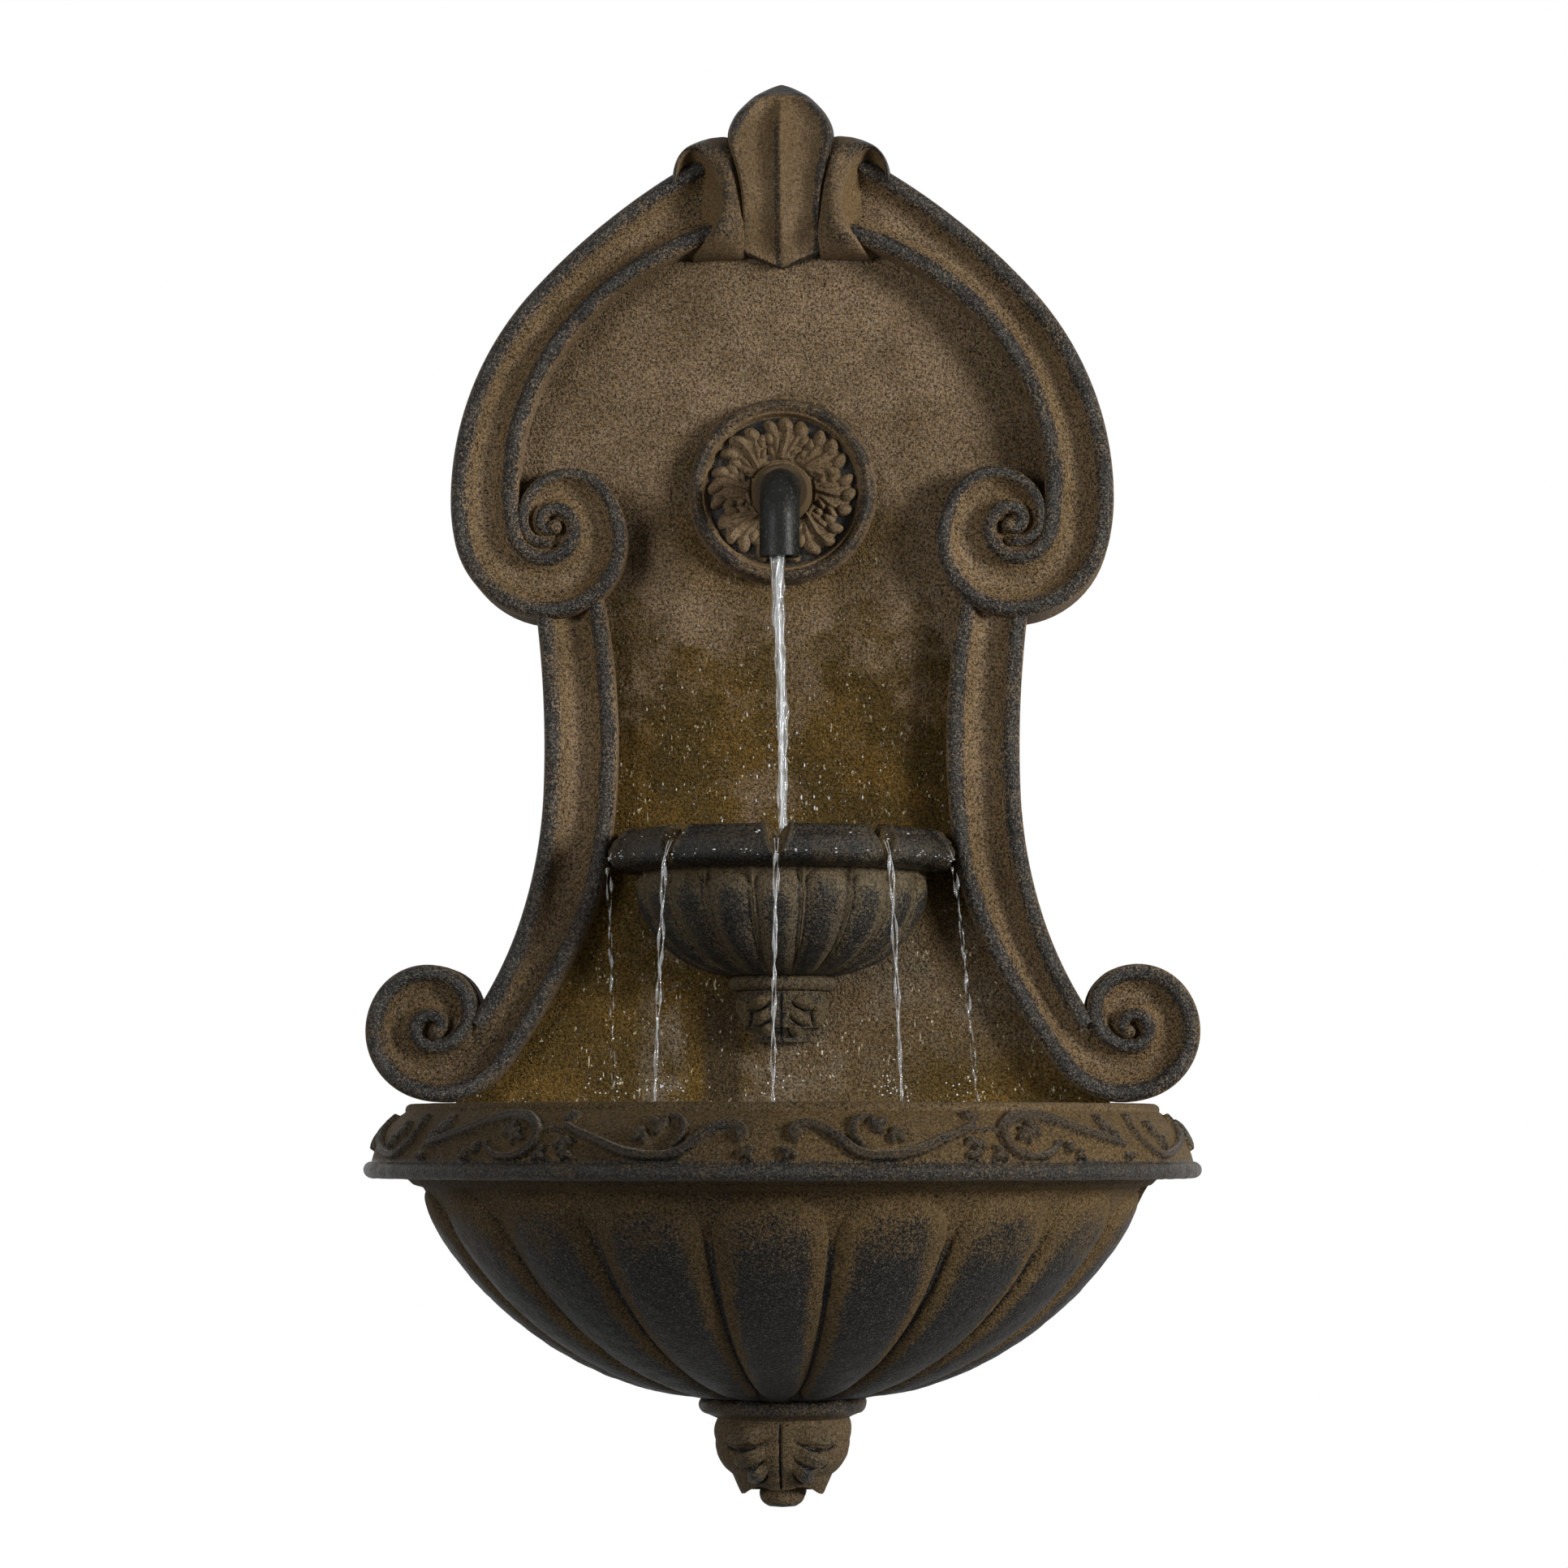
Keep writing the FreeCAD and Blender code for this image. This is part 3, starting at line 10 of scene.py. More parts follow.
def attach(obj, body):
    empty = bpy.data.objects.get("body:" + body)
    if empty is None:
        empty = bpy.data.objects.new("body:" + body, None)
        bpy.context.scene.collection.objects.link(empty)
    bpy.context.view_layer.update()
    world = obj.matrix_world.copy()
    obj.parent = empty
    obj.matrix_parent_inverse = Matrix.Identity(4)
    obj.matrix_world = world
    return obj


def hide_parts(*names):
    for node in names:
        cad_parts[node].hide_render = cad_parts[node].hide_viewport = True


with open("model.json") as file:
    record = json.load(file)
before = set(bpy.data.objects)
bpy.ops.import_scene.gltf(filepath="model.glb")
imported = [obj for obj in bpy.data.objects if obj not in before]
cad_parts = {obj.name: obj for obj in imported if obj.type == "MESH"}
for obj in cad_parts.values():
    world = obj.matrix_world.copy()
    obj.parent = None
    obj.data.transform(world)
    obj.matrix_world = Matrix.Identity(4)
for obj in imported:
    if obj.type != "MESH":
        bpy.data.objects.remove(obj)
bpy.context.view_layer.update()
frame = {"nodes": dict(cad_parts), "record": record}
scene = bpy.context.scene

# Garden wall fountain. Shapes are worked out in millimetres, with heights measured from the basin's rim and
# y going into the wall; Build.piece() lowers them to the hanging holes' frame and turns them into metres.
MM = 0.001
HANGER_Z = 470.0
FIELD_Y = -30.0
CASTING_SLOT = "aged_bronze_resin"
LOBE = 20.0  # degrees round a half-round casting that one gadroon takes

BEAD_W = 10.8
BEAD_SINK = 0.3
ARCH_BEAD_Y, ARCH_CHANNEL_Y = -52.0, -41.0
SIDE_BEAD_Y, SIDE_CHANNEL_Y = -49.0, -38.0
RAIL_STEP, CHANNEL_STEP = 1.2, 1.15

ROSETTE_Z = 372.0
ROSETTE_LEAF = radians(45)

BASIN_R, BASIN_HALF_WIDTH = 214.0, 251.9
BASIN_FLOOR, BASIN_BOTTOM, BASIN_BACK_Y = -156.0, -176.0, -7.0
BASIN_BODY_POINTS = 137
VINE_R = 236.0
FINIAL_R = 38.0

BOWL_BACK_Y, BOWL_TOP, BOWL_SIDE_X = -38.0, 164.5, 102.3
BOWL_BODY_POINTS, BOWL_LIP_POINTS = 82, 140
BOWL_LIP_R = 104.0
CORBEL_R = 22.0
NOTCHES = (-76, -38, 0, 38, 76)  # degrees from the front

POOL_Z, BOWL_POOL_Z = -9.0, 152.4

# Rails of the scrolls: start (x, z), heading in degrees, then arcs of (radius, turn in degrees).
ARCH_OUTER = ((-40.2, 574), 208, (
    (395, 20), (184.6, 42), (120, 12), (54, 78), (42, 90), (50, 40), (25, 50), (28, 90), (14, 100)))
ARCH_INNER = ((-31.1, 531.8), 193, (
    (180, 38.3), (154, 39.8), (150, 8.9), (20.2, 81.1), (16.7, 117.8), (10.9, 79.5), (7.5, 60), (5.6, 80), (4.4, 70)))
SIDE_OUTER = ((-145.6, 311.7), -81.6, ((679.7, -10.4), (291.5, -15.1), (243.4, -17.3)))
SIDE_INNER = ((-114.8, 311.3), -77.9, (
    (452.7, -20.5), (160.9, -15.7), (492.2, -11.1), (44.9, -78.3), (37.1, -103.9), (30.9, -77.8), (21.7, -80),
    (21.7, -78.8), (10.1, -83.1), (9, -100), (6.4, -80), (4.6, -70)))


# Shape functions
def lattice(ix, iy, iz, seed):
    """A repeatable random value from -1 to 1 at each lattice point."""
    n = (ix * 73856093) ^ (iy * 19349663) ^ (iz * 83492791) ^ (seed * 40503)
    n = (n ^ (n >> 13)) * 1274126177
    n = n ^ (n >> 16)
    return (n & 0xFFFF) / 32767.5 - 1.0


def noise(p, size, seed):
    """Smooth noise from -1 to 1 with lumps of the given size."""
    q = np.asarray(p, float) / size
    cell = np.floor(q).astype(np.int64)
    f = q - cell
    f = f * f * (3 - 2 * f)
    total = 0
    for corner in np.ndindex(2, 2, 2):
        wx, wy, wz = (f[..., k] if far else 1 - f[..., k] for k, far in enumerate(corner))
        total = total + wx * wy * wz * lattice(*np.moveaxis(cell + corner, -1, 0), seed)
    return total


def unit(x):
    return np.clip(x, 0, 1)


def smooth(x, low, high):
    """0 below low and 1 above high, with a soft change between them."""
    t = unit((x - low) / (high - low))
    return t * t * (3 - 2 * t)


def fade(x, low, high):
    return 1 - smooth(x, low, high)


def bell(x, centre, width, power=2):
    """1 at the centre and less on both sides; a higher power gives a flatter top."""
    return np.exp(-((x - centre) / width) ** power)


def squircle(a, b, power):
    return (a ** power + b ** power) ** (1 / power)


def sweep(low, high, count):
    return np.radians(np.linspace(low, high, count))


def xyz(x, y, z):
    return np.stack(np.broadcast_arrays(x, y, z), -1)


def on_field(p):
    return p * (1, 0, 1) + (0, FIELD_Y, 0)


def cells(index):
    return np.stack([index[:-1, :-1], index[1:, :-1], index[1:, 1:], index[:-1, 1:]], -1)


def in_oval(u, v, cu, cv, a, b, turn):
    """Places along and across an oval (centre, half length, half width, degrees), both 1 at its edge."""
    c, s = cos(radians(turn)), sin(radians(turn))
    return ((u - cu) * c + (v - cv) * s) / a, ((v - cv) * c - (u - cu) * s) / b


def bumps(u, v, shapes):
    """The highest of several rounded bumps, each an oval and its height."""
    h = 0
    for *oval, height in shapes:
        p, q = in_oval(u, v, *oval)
        h = np.maximum(h, height * np.sqrt(unit(1 - p * p - q * q)))
    return h


def leaf_lobes(u, v, ovals):
    """Overlapping leaf lobes that grow from their inner ends: their height, and the dark line below each."""
    high = line = 0
    for oval in ovals:
        along, up = in_oval(u, v, *oval)
        d = np.hypot(along, up)
        dome = np.sqrt(unit(1 - d * d)) * smooth(along, -1, -0.1)
        high = np.maximum(high, dome * (0.8 + 0.2 * np.clip(up, -1, 1)))
        line = np.maximum(line, bell(d, 1.06, 0.13) * smooth(-up, -0.4, 0.4) * smooth(along, -0.9, 0))
    return high, line


def spline(points, step=0.6):
    """Close points along a smooth line through the given ones."""
    p = np.array(points, float)
    p = np.vstack([2 * p[0] - p[1], p, 2 * p[-1] - p[-2]])
    out = []
    for a, b, c, d in zip(p, p[1:], p[2:], p[3:]):
        n = max(2, int(np.linalg.norm(c - b) / step))
        t = (np.arange(n) / n)[:, None]
        out.append(0.5 * (2 * b + (c - a) * t + (2 * a - 5 * b + 4 * c - d) * t ** 2
                          + (3 * b - a - 3 * c + d) * t ** 3))
    return np.vstack(out + [p[-2][None]])


# Meshes
class Build:
    """Grids of points that become one mesh, with the dark patina, warmth, wetness and painted highlight of each point.
    """

    def __init__(self):
        self.points, self.quads, self.paint, self.count = [], [], [], 0

    def grid(self, p, patina=0.0, warm=0.0, flip=False, wet=0.0, painted_highlight=0.0):
        nu, nv = p.shape[:2]
        quads = cells(np.arange(nu * nv).reshape(nu, nv)).reshape(-1, 4)
        paint = np.stack([np.broadcast_to(v, (nu, nv)).ravel() for v in (patina, warm, wet, painted_highlight)], 1)
        self.sheet(p.reshape(-1, 3), quads[:, ::-1] if flip else quads, paint)
        return self

    def sheet(self, points, quads, paint):
        self.points.append(points)
        self.quads.append(quads + self.count)
        self.paint.append(paint)
        self.count += len(points)

    def piece(self, name, material, node=None, mirror=False):
        points = np.vstack(self.points) * MM
        points[:, 2] -= HANGER_Z * MM
        quads = np.vstack(self.quads)
        if mirror:
            points[:, 0] *= -1
            quads = quads[:, ::-1]
        mesh = bpy.data.meshes.new(name)
        mesh.from_pydata(points, [], quads, shade_flat=False)
        paint = np.vstack(self.paint).astype(np.float32)
        for k, key in enumerate(("patina", "warm", "wet", "painted_highlight")):
            mesh.attributes.new(key, "FLOAT", "POINT").data.foreach_set("value", paint[:, k].copy())
        mesh.materials.append(material)
        piece = bpy.data.objects.new(name, mesh)
        scene.collection.objects.link(piece)
        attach(piece, "fountain")
        if node:
            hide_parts(node)

    def pair(self, name, material, node):
        self.piece(name + "_left", material, node + "_left")
        self.piece(name + "_right", material, node + "_right", mirror=True)


# Scrolls
def rail_points(rail):
    """Rows of x, z, heading and arc number along a rail."""
    (x, z), heading, arcs = rail
    h0 = radians(heading)
    rows = []
    for k, (radius, turn) in enumerate(arcs):
        side = radius if turn > 0 else -radius
        turn = radians(turn)
        n = max(3, int(abs(turn) * radius / RAIL_STEP))
        h = h0 + turn * np.arange(n) / n
        rows.append(np.stack([x + side * (np.sin(h) - sin(h0)), z - side * (np.cos(h) - cos(h0)), h,
                              k + np.arange(n) / n], 1))
        x += side * (sin(h0 + turn) - sin(h0))
        z -= side * (cos(h0 + turn) - cos(h0))
        h0 += turn
    return np.vstack(rows + [[[x, z, h0, len(arcs)]]])


def tapered(count, end, keep):
    """Bead widths for each arc of a rail: full for the first ones, then narrowing to the end."""
    steps = count - keep
    return [BEAD_W] * keep + [BEAD_W + (end - BEAD_W) * (i + 1) / steps for i in range(steps)]


def bead_widths(rail, widths):
    return np.interp(rail[:, 3], np.arange(len(widths)) + 0.5, widths)


def bead(build, rail, widths, crown_y):
    """A half-round bead along a rail, with straight sides down to the field."""
    w = bead_widths(rail, widths)[:, None] / 2
    a = np.pad(sweep(-90, 90, 15), 1, "edge")[None]
    u, hump = w * np.sin(a), np.cos(a)
    y = crown_y + (BEAD_W - 2 * w) * BEAD_SINK + w * (1 - hump)
    y[:, [0, -1]] = FIELD_Y
    p = xyz(rail[:, :1] - u * np.sin(rail[:, 2:3]), y, rail[:, 1:2] + u * np.cos(rail[:, 2:3]))
    p[..., 1] -= hump * (0.35 * noise(p, 9, 3) + 0.28 * noise(p, 3.2, 4))
    # Patina over the crown, and a painted highlight in broken patches along the crest.
    build.grid(p, unit(0.8 * hump ** 0.8 + 0.08 - 0.11 * np.sin(a)), 0.2 * (1 - hump), wet=0.25 * hump,
               painted_highlight=0.14 * smooth(hump, 0.72, 0.95) * smooth(noise(p, 14, 31), -0.5, 0.6))


def knob(build, rail, width, crown_y):
    """The rounded button in which a bead ends."""
    x, z = rail[-1, :2]
    radius, rise, drop = width / 2 + 0.8, 1.6, 6.0
    a, t = sweep(0, 90, 12)[None], sweep(0, 360, 41)[:, None]
    r = np.hstack([radius * np.sin(a), [[radius]]])
    y = np.hstack([crown_y - rise + drop * (1 - np.cos(a)), [[FIELD_Y]]])
    p = xyz(x + r * np.cos(t), y, z + r * np.sin(t))
    p[..., 1] += 0.3 * noise(p, 4, 5)
    build.grid(p, 0.45, 0.1, flip=True)


def inside(polygon, x, z):
    hit = np.zeros(x.shape, bool)
    for (x0, z0), (x1, z1) in zip(polygon, np.roll(polygon, -1, 0)):
        if z0 != z1:
            hit ^= ((z0 > z) != (z1 > z)) & (x < (x1 - x0) * (z - z0) / (z1 - z0) + x0)
    return hit


def channel(build, regions, holes, rails, floor_y, eye):
    """The hollow face between the beads, deepest midway and rising against them."""
    corners = np.vstack(regions)
    xs, zs = (np.arange(low, high + CHANNEL_STEP, CHANNEL_STEP) for low, high in zip(corners.min(0), corners.max(0)))
    gx, gz = np.meshgrid(xs, zs, indexing="ij")
    cx, cz = gx[:-1, :-1] + CHANNEL_STEP / 2, gz[:-1, :-1] + CHANNEL_STEP / 2
    keep = np.any([inside(region, cx, cz) for region in regions], axis=0)
    for hole in holes:
        keep &= ~inside(hole, cx, cz)
    used, quads = np.unique(cells(np.arange(gx.size).reshape(gx.shape))[keep], return_inverse=True)
    x, z = gx.ravel()[used], gz.ravel()[used]
    tree = kdtree.KDTree(sum(len(r) for r, _ in rails))
    half = np.concatenate([bead_widths(r, w) / 2 for r, w in rails])
    for i, (px, pz) in enumerate(np.vstack([r[:, :2] for r, _ in rails])):
        tree.insert((px, 0, pz), i)
    tree.balance()
    found = [tree.find((a, 0, b)) for a, b in zip(x, z)]
    edge = np.maximum(np.array([f[2] for f in found]) - half[[f[1] for f in found]], 0)
    to_eye = np.hypot(x - eye[0], z - eye[1])
    rise = (6.8 * np.exp(-edge / 4.6) + 1.5) * (1 - 0.55 * bell(to_eye, 0, 15))
    p = xyz(x, floor_y - rise + 1.5 - 1.5 * bell(to_eye, 0, 13), z)
    p[:, 1] -= 0.35 * noise(p, 11, 6) + 0.16 * noise(p, 2.8, 7)
    paint = np.zeros((len(p), 4))
    paint[:, 0], paint[:, 1] = 0.3 * np.exp(-edge / 2.2), 0.7 * bell(edge, 2.5, 3.5)
    build.sheet(p, quads.reshape(-1, 4), paint)


def span(rail, first, last):
    """The points (x, z) of a rail from one arc number to another."""
    return rail[(rail[:, 3] >= first) & (rail[:, 3] <= last)][:, :2]


def outside(rail, holes):
    for hole in holes:
        rail = rail[~inside(hole, rail[:, 0], rail[:, 1])]
    return rail


def scroll(rails, bead_y, channel_y, regions, holes=()):
    """A scroll between two beads, the inner one ending in a button, left open where the holes are."""
    build = Build()
    for rail, widths in rails:
        bead(build, outside(rail, holes), widths, bead_y)
    knob(build, rail, widths[-1], bead_y)
    channel(build, regions, holes, rails, channel_y, rail[-1])
    return build


arch_outer, arch_inner, side_outer, side_inner = map(rail_points, (ARCH_OUTER, ARCH_INNER, SIDE_OUTER, SIDE_INNER))
arch_rails = (arch_outer, tapered(9, 6.5, 4)), (arch_inner, tapered(7, 8, 3) + [7.6, 7.2])
side_rails = (side_outer, [BEAD_W] * 3), (side_inner, tapered(10, 8, 5) + [7.6, 7.2])
arch_spiral = span(arch_outer, 2, 8)
arch_regions = (np.vstack([span(arch_outer, 0, 2), span(arch_inner, 0, 2)[::-1]]),
                np.vstack([arch_spiral, [arch_spiral[-1] - (BEAD_W / 2, 0), span(arch_inner, 2, 9)[0]]]))
side_regions = (np.vstack([side_outer[:, :2], span(side_inner, 0, 3)[::-1]]),
                np.vstack([span(side_inner, 3, 7), side_outer[-1:, :2]]))


# Crown
def crown_leaf():
    """Two hollow flutes with a ridge between them, under a thick rounded top, like a shell."""
    edge = spline([
        (0.3, 509.6), (5, 510.9), (11, 513.4), (17.5, 515.9), (22.2, 517.8), (24.1, 520.6), (24, 526), (23.4, 533),
        (23.4, 541), (24.4, 553), (26.8, 564), (29.6, 573.5), (31.6, 580.5), (32.3, 586), (31.3, 591.5), (28.8, 597.2),
        (25.6, 602.2), (21.6, 607.2), (17.4, 611.6), (13, 615.3), (8.4, 618.2), (3.8, 619.9), (0.3, 620.3)], 0.7)
    w, z = edge[:, :1], edge[:, 1:]
    x = np.sin(sweep(-90, 90, 141))[None] * w
    front = np.interp(z, [509, 513, 517, 522, 529, 538, 550, 565, 580, 600, 612, 620],
                      [-35.5, -37.5, -40, -44, -50, -56.5, -63, -68, -70, -66, -58, -46])
    rim = np.minimum(np.interp(z, [505, 545, 572, 592, 605, 620], [1.5, 1.5, 2.2, 4.5, 6, 7]), w * 0.5)
    rim_drop = np.interp(z, [505, 545, 590, 620], [5, 5, 10, 11])
    s = unit(np.abs(x) / np.maximum(w - rim, 0.1))
    top = 609.3 - 0.0127 * x ** 2
    under = unit((top - z) / 15)
    foot = smooth(z, 508, 530)
    hollow = 4.6 * np.sin(pi * s) ** 1.35 * np.clip(w / 25, 0, 1.1) * np.sqrt(1 - (1 - under) ** 2) * foot
    ridge = 1.6 * bell(x, 0, 2.6) * foot * fade(z, 590, 604)
    ledge = 1.5 * bell(z - top, 1.2, 1.3) * smooth(w - np.abs(x), 3, 6)
    over = unit((np.abs(x) - (w - rim)) / rim)
    p = xyz(x, front + hollow - ridge - ledge + rim_drop * (1 - np.sqrt(1 - over ** 2)), z)
    p[..., 1] -= 0.3 * noise(p, 7, 8) + 0.12 * noise(p, 2.5, 9)
    p[..., 1] = np.minimum(p[..., 1], -35)
    # Patina on the rim and the top cap; the dark strip just left of the ridge is painted shade, and the leaf is darker
    # at the bottom on the left.
    patina = unit(smooth(s, 0.78, 0.96) * np.where(x > 0, 0.75, 0.25 + 0.5 * smooth(z, 575, 592))
                  + 0.85 * smooth(z - top, -0.5, 2.5) + 0.62 * bell(x, -2.6, 2) * fade(z, 588, 603)
                  + 0.25 * fade(z, 512, 528) * (x < 0))
    build = Build()
    build.grid(p, patina * (1 - 0.6 * unit(ledge)), 0.3 * fade(s, 0.2, 0.5) * smooth(z, 540, 600))
    ring = np.concatenate([p[:, 0], p[-1], p[::-1, -1], p[0, ::-1]])
    build.grid(np.stack([ring, on_field(ring)]), 0.8)
    build.grid(on_field(p), 0.5, flip=True)
    return build


def crown_curl():
    """A hood whose lip sweeps from the dome down beside the leaf, hollow on the side of the scroll."""
    t = np.linspace(0, 1, 170)[:, None]

    def even(points):
        line = spline(points, 0.5)
        return np.stack([np.interp(t, np.linspace(0, 1, len(line)), line[:, k]) for k in (0, 1)], -1)

    outer = even([
        (-66.4, 558), (-66.2, 566), (-63.6, 573.8), (-58.9, 579.6), (-52.8, 583.6), (-46.6, 585.9), (-40.5, 586.8),
        (-32.4, 586.2), (-27.6, 580), (-25, 570), (-23.2, 560), (-21.8, 548), (-21.6, 534.8), (-22, 523.3),
        (-23.6, 515.4)])
    lip = even([
        (-64.4, 559), (-62.6, 568.8), (-59.4, 574.4), (-55.2, 577.2), (-50.8, 576.4), (-46.5, 572.5), (-42.2, 566.3),
        (-39, 559.5), (-37, 552.3), (-36.2, 545.3), (-37.2, 538.8), (-40.2, 531.8), (-44.4, 525.2), (-49.2, 518.8),
        (-53.5, 514)])
    deep = even([(-61.5, 557.4), (-58.6, 562), (-54.8, 562.8), (-51, 560), (-49.2, 555), (-48.6, 549), (-50, 543),
                 (-52.5, 536), (-55.8, 528), (-57.2, 517.5)])
    lip_y = np.interp(t, [0, 0.12, 0.35, 0.6, 0.85, 1], [-52, -57, -60.5, -59.5, -55, -48])
    edge_y = np.interp(t, [0, 0.3, 0.5, 0.85, 1], [-46, -50, -57, -50, -44])
    deep_y = np.interp(t, [0, 0.2, 0.8, 1], [-43, -42, -42, -40])
    s = np.linspace(0, 1, 22)[None]
    crest, ledge = 7.5, 1.0
    face_y = (1 - s) * edge_y + s * lip_y - crest * np.sin(pi * s) ** 0.7
    inner_y = lip_y + ledge + (deep_y - lip_y - ledge) * np.sin(pi / 2 * s[:, 1:]) ** 0.75
    flat = np.concatenate([outer, outer + (lip - outer) * s[..., None], lip + (deep - lip) * s[:, 1:, None]], 1)
    y = np.concatenate([FIELD_Y + 0 * t, face_y, inner_y], 1)
    foot = np.sqrt(1 - (1 - unit((1 - t) / 0.15)) ** 2)
    p = xyz(flat[..., 0], FIELD_Y + (y - FIELD_Y) * (0.12 + 0.88 * foot), flat[..., 1])
    p[:, 2:, 1] -= 0.25 * noise(p[:, 2:], 6, 10) + 0.1 * noise(p[:, 2:], 2.4, 11)
    across = np.concatenate([[0, 0], s[0, 1:], 1 + s[0, 1:]])[None]
    patina = 0.46 * bell(across, 0.52, 0.5, 4) * np.where(np.abs(across - 1) < 0.06, 0.1, 1)
    patina = patina * (1 - 0.6 * smooth(t, 0.88, 0.98)) + 0.35 * fade(t, 0.1, 0.5) * (across < 1)
    return Build().grid(p, patina, np.where(across > 1.05, 0.8, 0.1))


# Rosette
def rosette():
    """A ring round eight lobed leaves that lean a little to one side."""
    r = np.concatenate([np.linspace(9, 46.5, 110), np.linspace(46.9, 57.5, 34), [57.5]])[None]
    t = sweep(0, 360, 721)[:, None]
    dish = np.interp(r, [0, 17.8, 18.6, 46, 46.7, 47.6, 48.6, 50.4, 52.6, 54.8, 56.4, 57.5],
                     [8, 8, 5, 3, 6, 8.6, 8.4, 10.6, 11.6, 10.2, 6.5, 0])
    turn = (t + 0.09 * np.sin((r - 22) / 8) + ROSETTE_LEAF / 2) % ROSETTE_LEAF - ROSETTE_LEAF / 2
    u, v = r * np.cos(turn), np.abs(r * np.sin(turn))
    leaf = bumps(u, v, [
        (40.2, 0, 5.6, 4.4, 0, 6.2), (37.9, 9, 5.8, 4, 16, 6), (31, 10.4, 4.8, 3, 38, 5.2),
        (24.2, 7.4, 3.6, 2.2, 50, 4.4), (29, 0, 12, 2.7, 0, 4.8), (29.6, 5.4, 9.5, 2.5, 20, 4.6),
        (30, 0, 14, 12.5, 0, 3.4)])
    leaf += 1.5 * bell(v, 0, 0.8) * smooth(u, 17, 22) * fade(u, 37, 44)
    leaf = leaf * smooth(r, 18.4, 20.5) * fade(r, 45.6, 46.6)
    p = xyz(r * np.cos(t), FIELD_Y - (dish + leaf), ROSETTE_Z + r * np.sin(t))
    p[:, :-1, 1] -= 0.22 * noise(p[:, :-1], 5, 12)
    patina = unit(0.66 * bell(r, 52.8, 4.6, 4) + 0.15 * smooth(leaf, 3.5, 6))
    pits = fade(leaf, 0.4, 2.4) * smooth(r, 19, 21) * fade(r, 45, 46.5)
    return Build().grid(p, unit(patina + 0.85 * pits), 0.5 * bell(r, 47.2, 1.2), flip=True)


# Half-round castings
def arc(a, b, rise, count):
    """Points from a to b on an arc that rises to the right of its chord, without the first one."""
    (ax, az), (bx, bz) = a, b
    chord = hypot(bx - ax, bz - az)
    radius = (chord * chord / 4 + rise * rise) / (2 * abs(rise))
    half = asin(min(1.0, chord / 2 / radius))
    t = np.linspace(-half, half, count + 1)[1:]
    along = radius * np.sin(t) + chord / 2
    out = (radius * np.cos(t) - radius * cos(half)) * (1 if rise > 0 else -1)
    ux, uz = (bx - ax) / chord, (bz - az) / chord
    return np.stack([ax + ux * along + uz * out, az + uz * along - ux * out], 1)


def run(a, b, count):
    return np.array(a) + (np.array(b) - np.array(a)) * (np.arange(1, count + 1) / count)[:, None]


def outline(start, *steps):
    """A profile of points (r, z). After the start points come steps (r, z, count), straight ones, or
    (r, z, count, rise), arcs."""
    rows, a = [start], start[-1]
    for r, z, count, *rise in steps:
        rows.append(arc(a, (r, z), rise[0], count) if rise else run(a, (r, z), count))
        a = r, z
    return np.vstack(rows)


def half_round(profile, columns, side_count=1, back_y=FIELD_Y):
    """A profile (r, z) turned about the upright through the field plane, with straight columns that carry it back at
    both ends: the angle of each column from the front, the points, r and z."""
    r, z = profile.T[:, None]
    angles = np.linspace(-90, 90, columns)
    a = np.radians(angles)[:, None]
    left = xyz(-r, np.linspace(back_y, FIELD_Y, side_count, endpoint=False)[:, None], z)
    turned = xyz(r * np.sin(a), FIELD_Y - r * np.cos(a), z)
    p = np.concatenate([left, turned, left[::-1] * (-1, 1, 1)])
    return np.pad(angles, side_count, "edge")[:, None], p, r, z


def push(p, wide, profile, out):
    """Moves points outwards from the surface of a half-round casting."""
    d = np.gradient(profile, axis=0)
    d /= np.maximum(np.linalg.norm(d, axis=1), 1e-6)[:, None]
    nr, nz = d[:, 1][None], -d[:, 0][None]
    a = np.radians(wide)
    p[..., 0] += out * nr * np.sin(a)
    p[..., 1] -= out * nr * np.cos(a)
    p[..., 2] += out * nz


def from_lobe(wide):
    """Degrees from the middle of the nearest gadroon."""
    return (wide + LOBE / 2) % LOBE - LOBE / 2


# Lower basin. The vine is laid out from the middle as (degrees round the basin, height): stems with their half
# widths, sprigs of three leaves with their direction and size, and round buds with their size.
STEMS = [
    ([(3.7, -21.7), (3.1, -18.6), (3.6, -15), (5, -13.7), (6.6, -15), (8.2, -18.2), (9.9, -23.5), (11.3, -27.9),
      (12.9, -30.4), (14.7, -31), (16.9, -30.3), (19.9, -27.5), (23.1, -22.6), (26.5, -17.7), (28.4, -14.6)], 2.5),
    ([(12.7, -25.8), (11.6, -20.8), (11.3, -15.5), (11.9, -11), (13.4, -9.2)], 1.5),
    ([(54.8, -24.6), (50, -20.4), (44.9, -14.9), (41.6, -10.9), (38.5, -9), (35.9, -9.8), (33.7, -13.6),
      (32.7, -18.6), (32.9, -24), (34.1, -28.6), (36, -31), (38.3, -30.8), (40.4, -27.6), (41.5, -23.6)], 2.3),
    ([(28.4, -18.1), (30.7, -15.9), (32.6, -18.1)], 0.9),
    ([(60.1, -8.8), (59.1, -14.8), (59.6, -21.8), (61.8, -27.4), (65.7, -30.4), (72.6, -25.7), (79, -16.7),
      (80.5, -9)], 1.8),
    ([(84, -27), (86, -20), (88.5, -12)], 1.8),
]
SPRIGS = [
    (2.9, -26, -115, 1), (13.9, -15, 25, 1.1), (16.3, -18, -30, 1), (28.2, -11.6, 70, 0.9), (28.2, -21, -100, 1.2),
    (27.4, -27.6, -75, 1), (37.6, -20, 100, 1.3), (36.8, -18.8, 200, 1), (32.2, -28, 215, 1.1), (44.4, -29, -40, 0.8),
    (51.3, -12.6, -15, 1.1), (53.2, -18, -60, 0.9), (55.3, -28.6, -95, 0.9), (64.2, -13.6, -50, 1.1),
    (66.2, -20.8, -60, 0.9)]
SPRIG_LEAVES = (-52, 0.75), (0, 1.1), (52, 0.75)
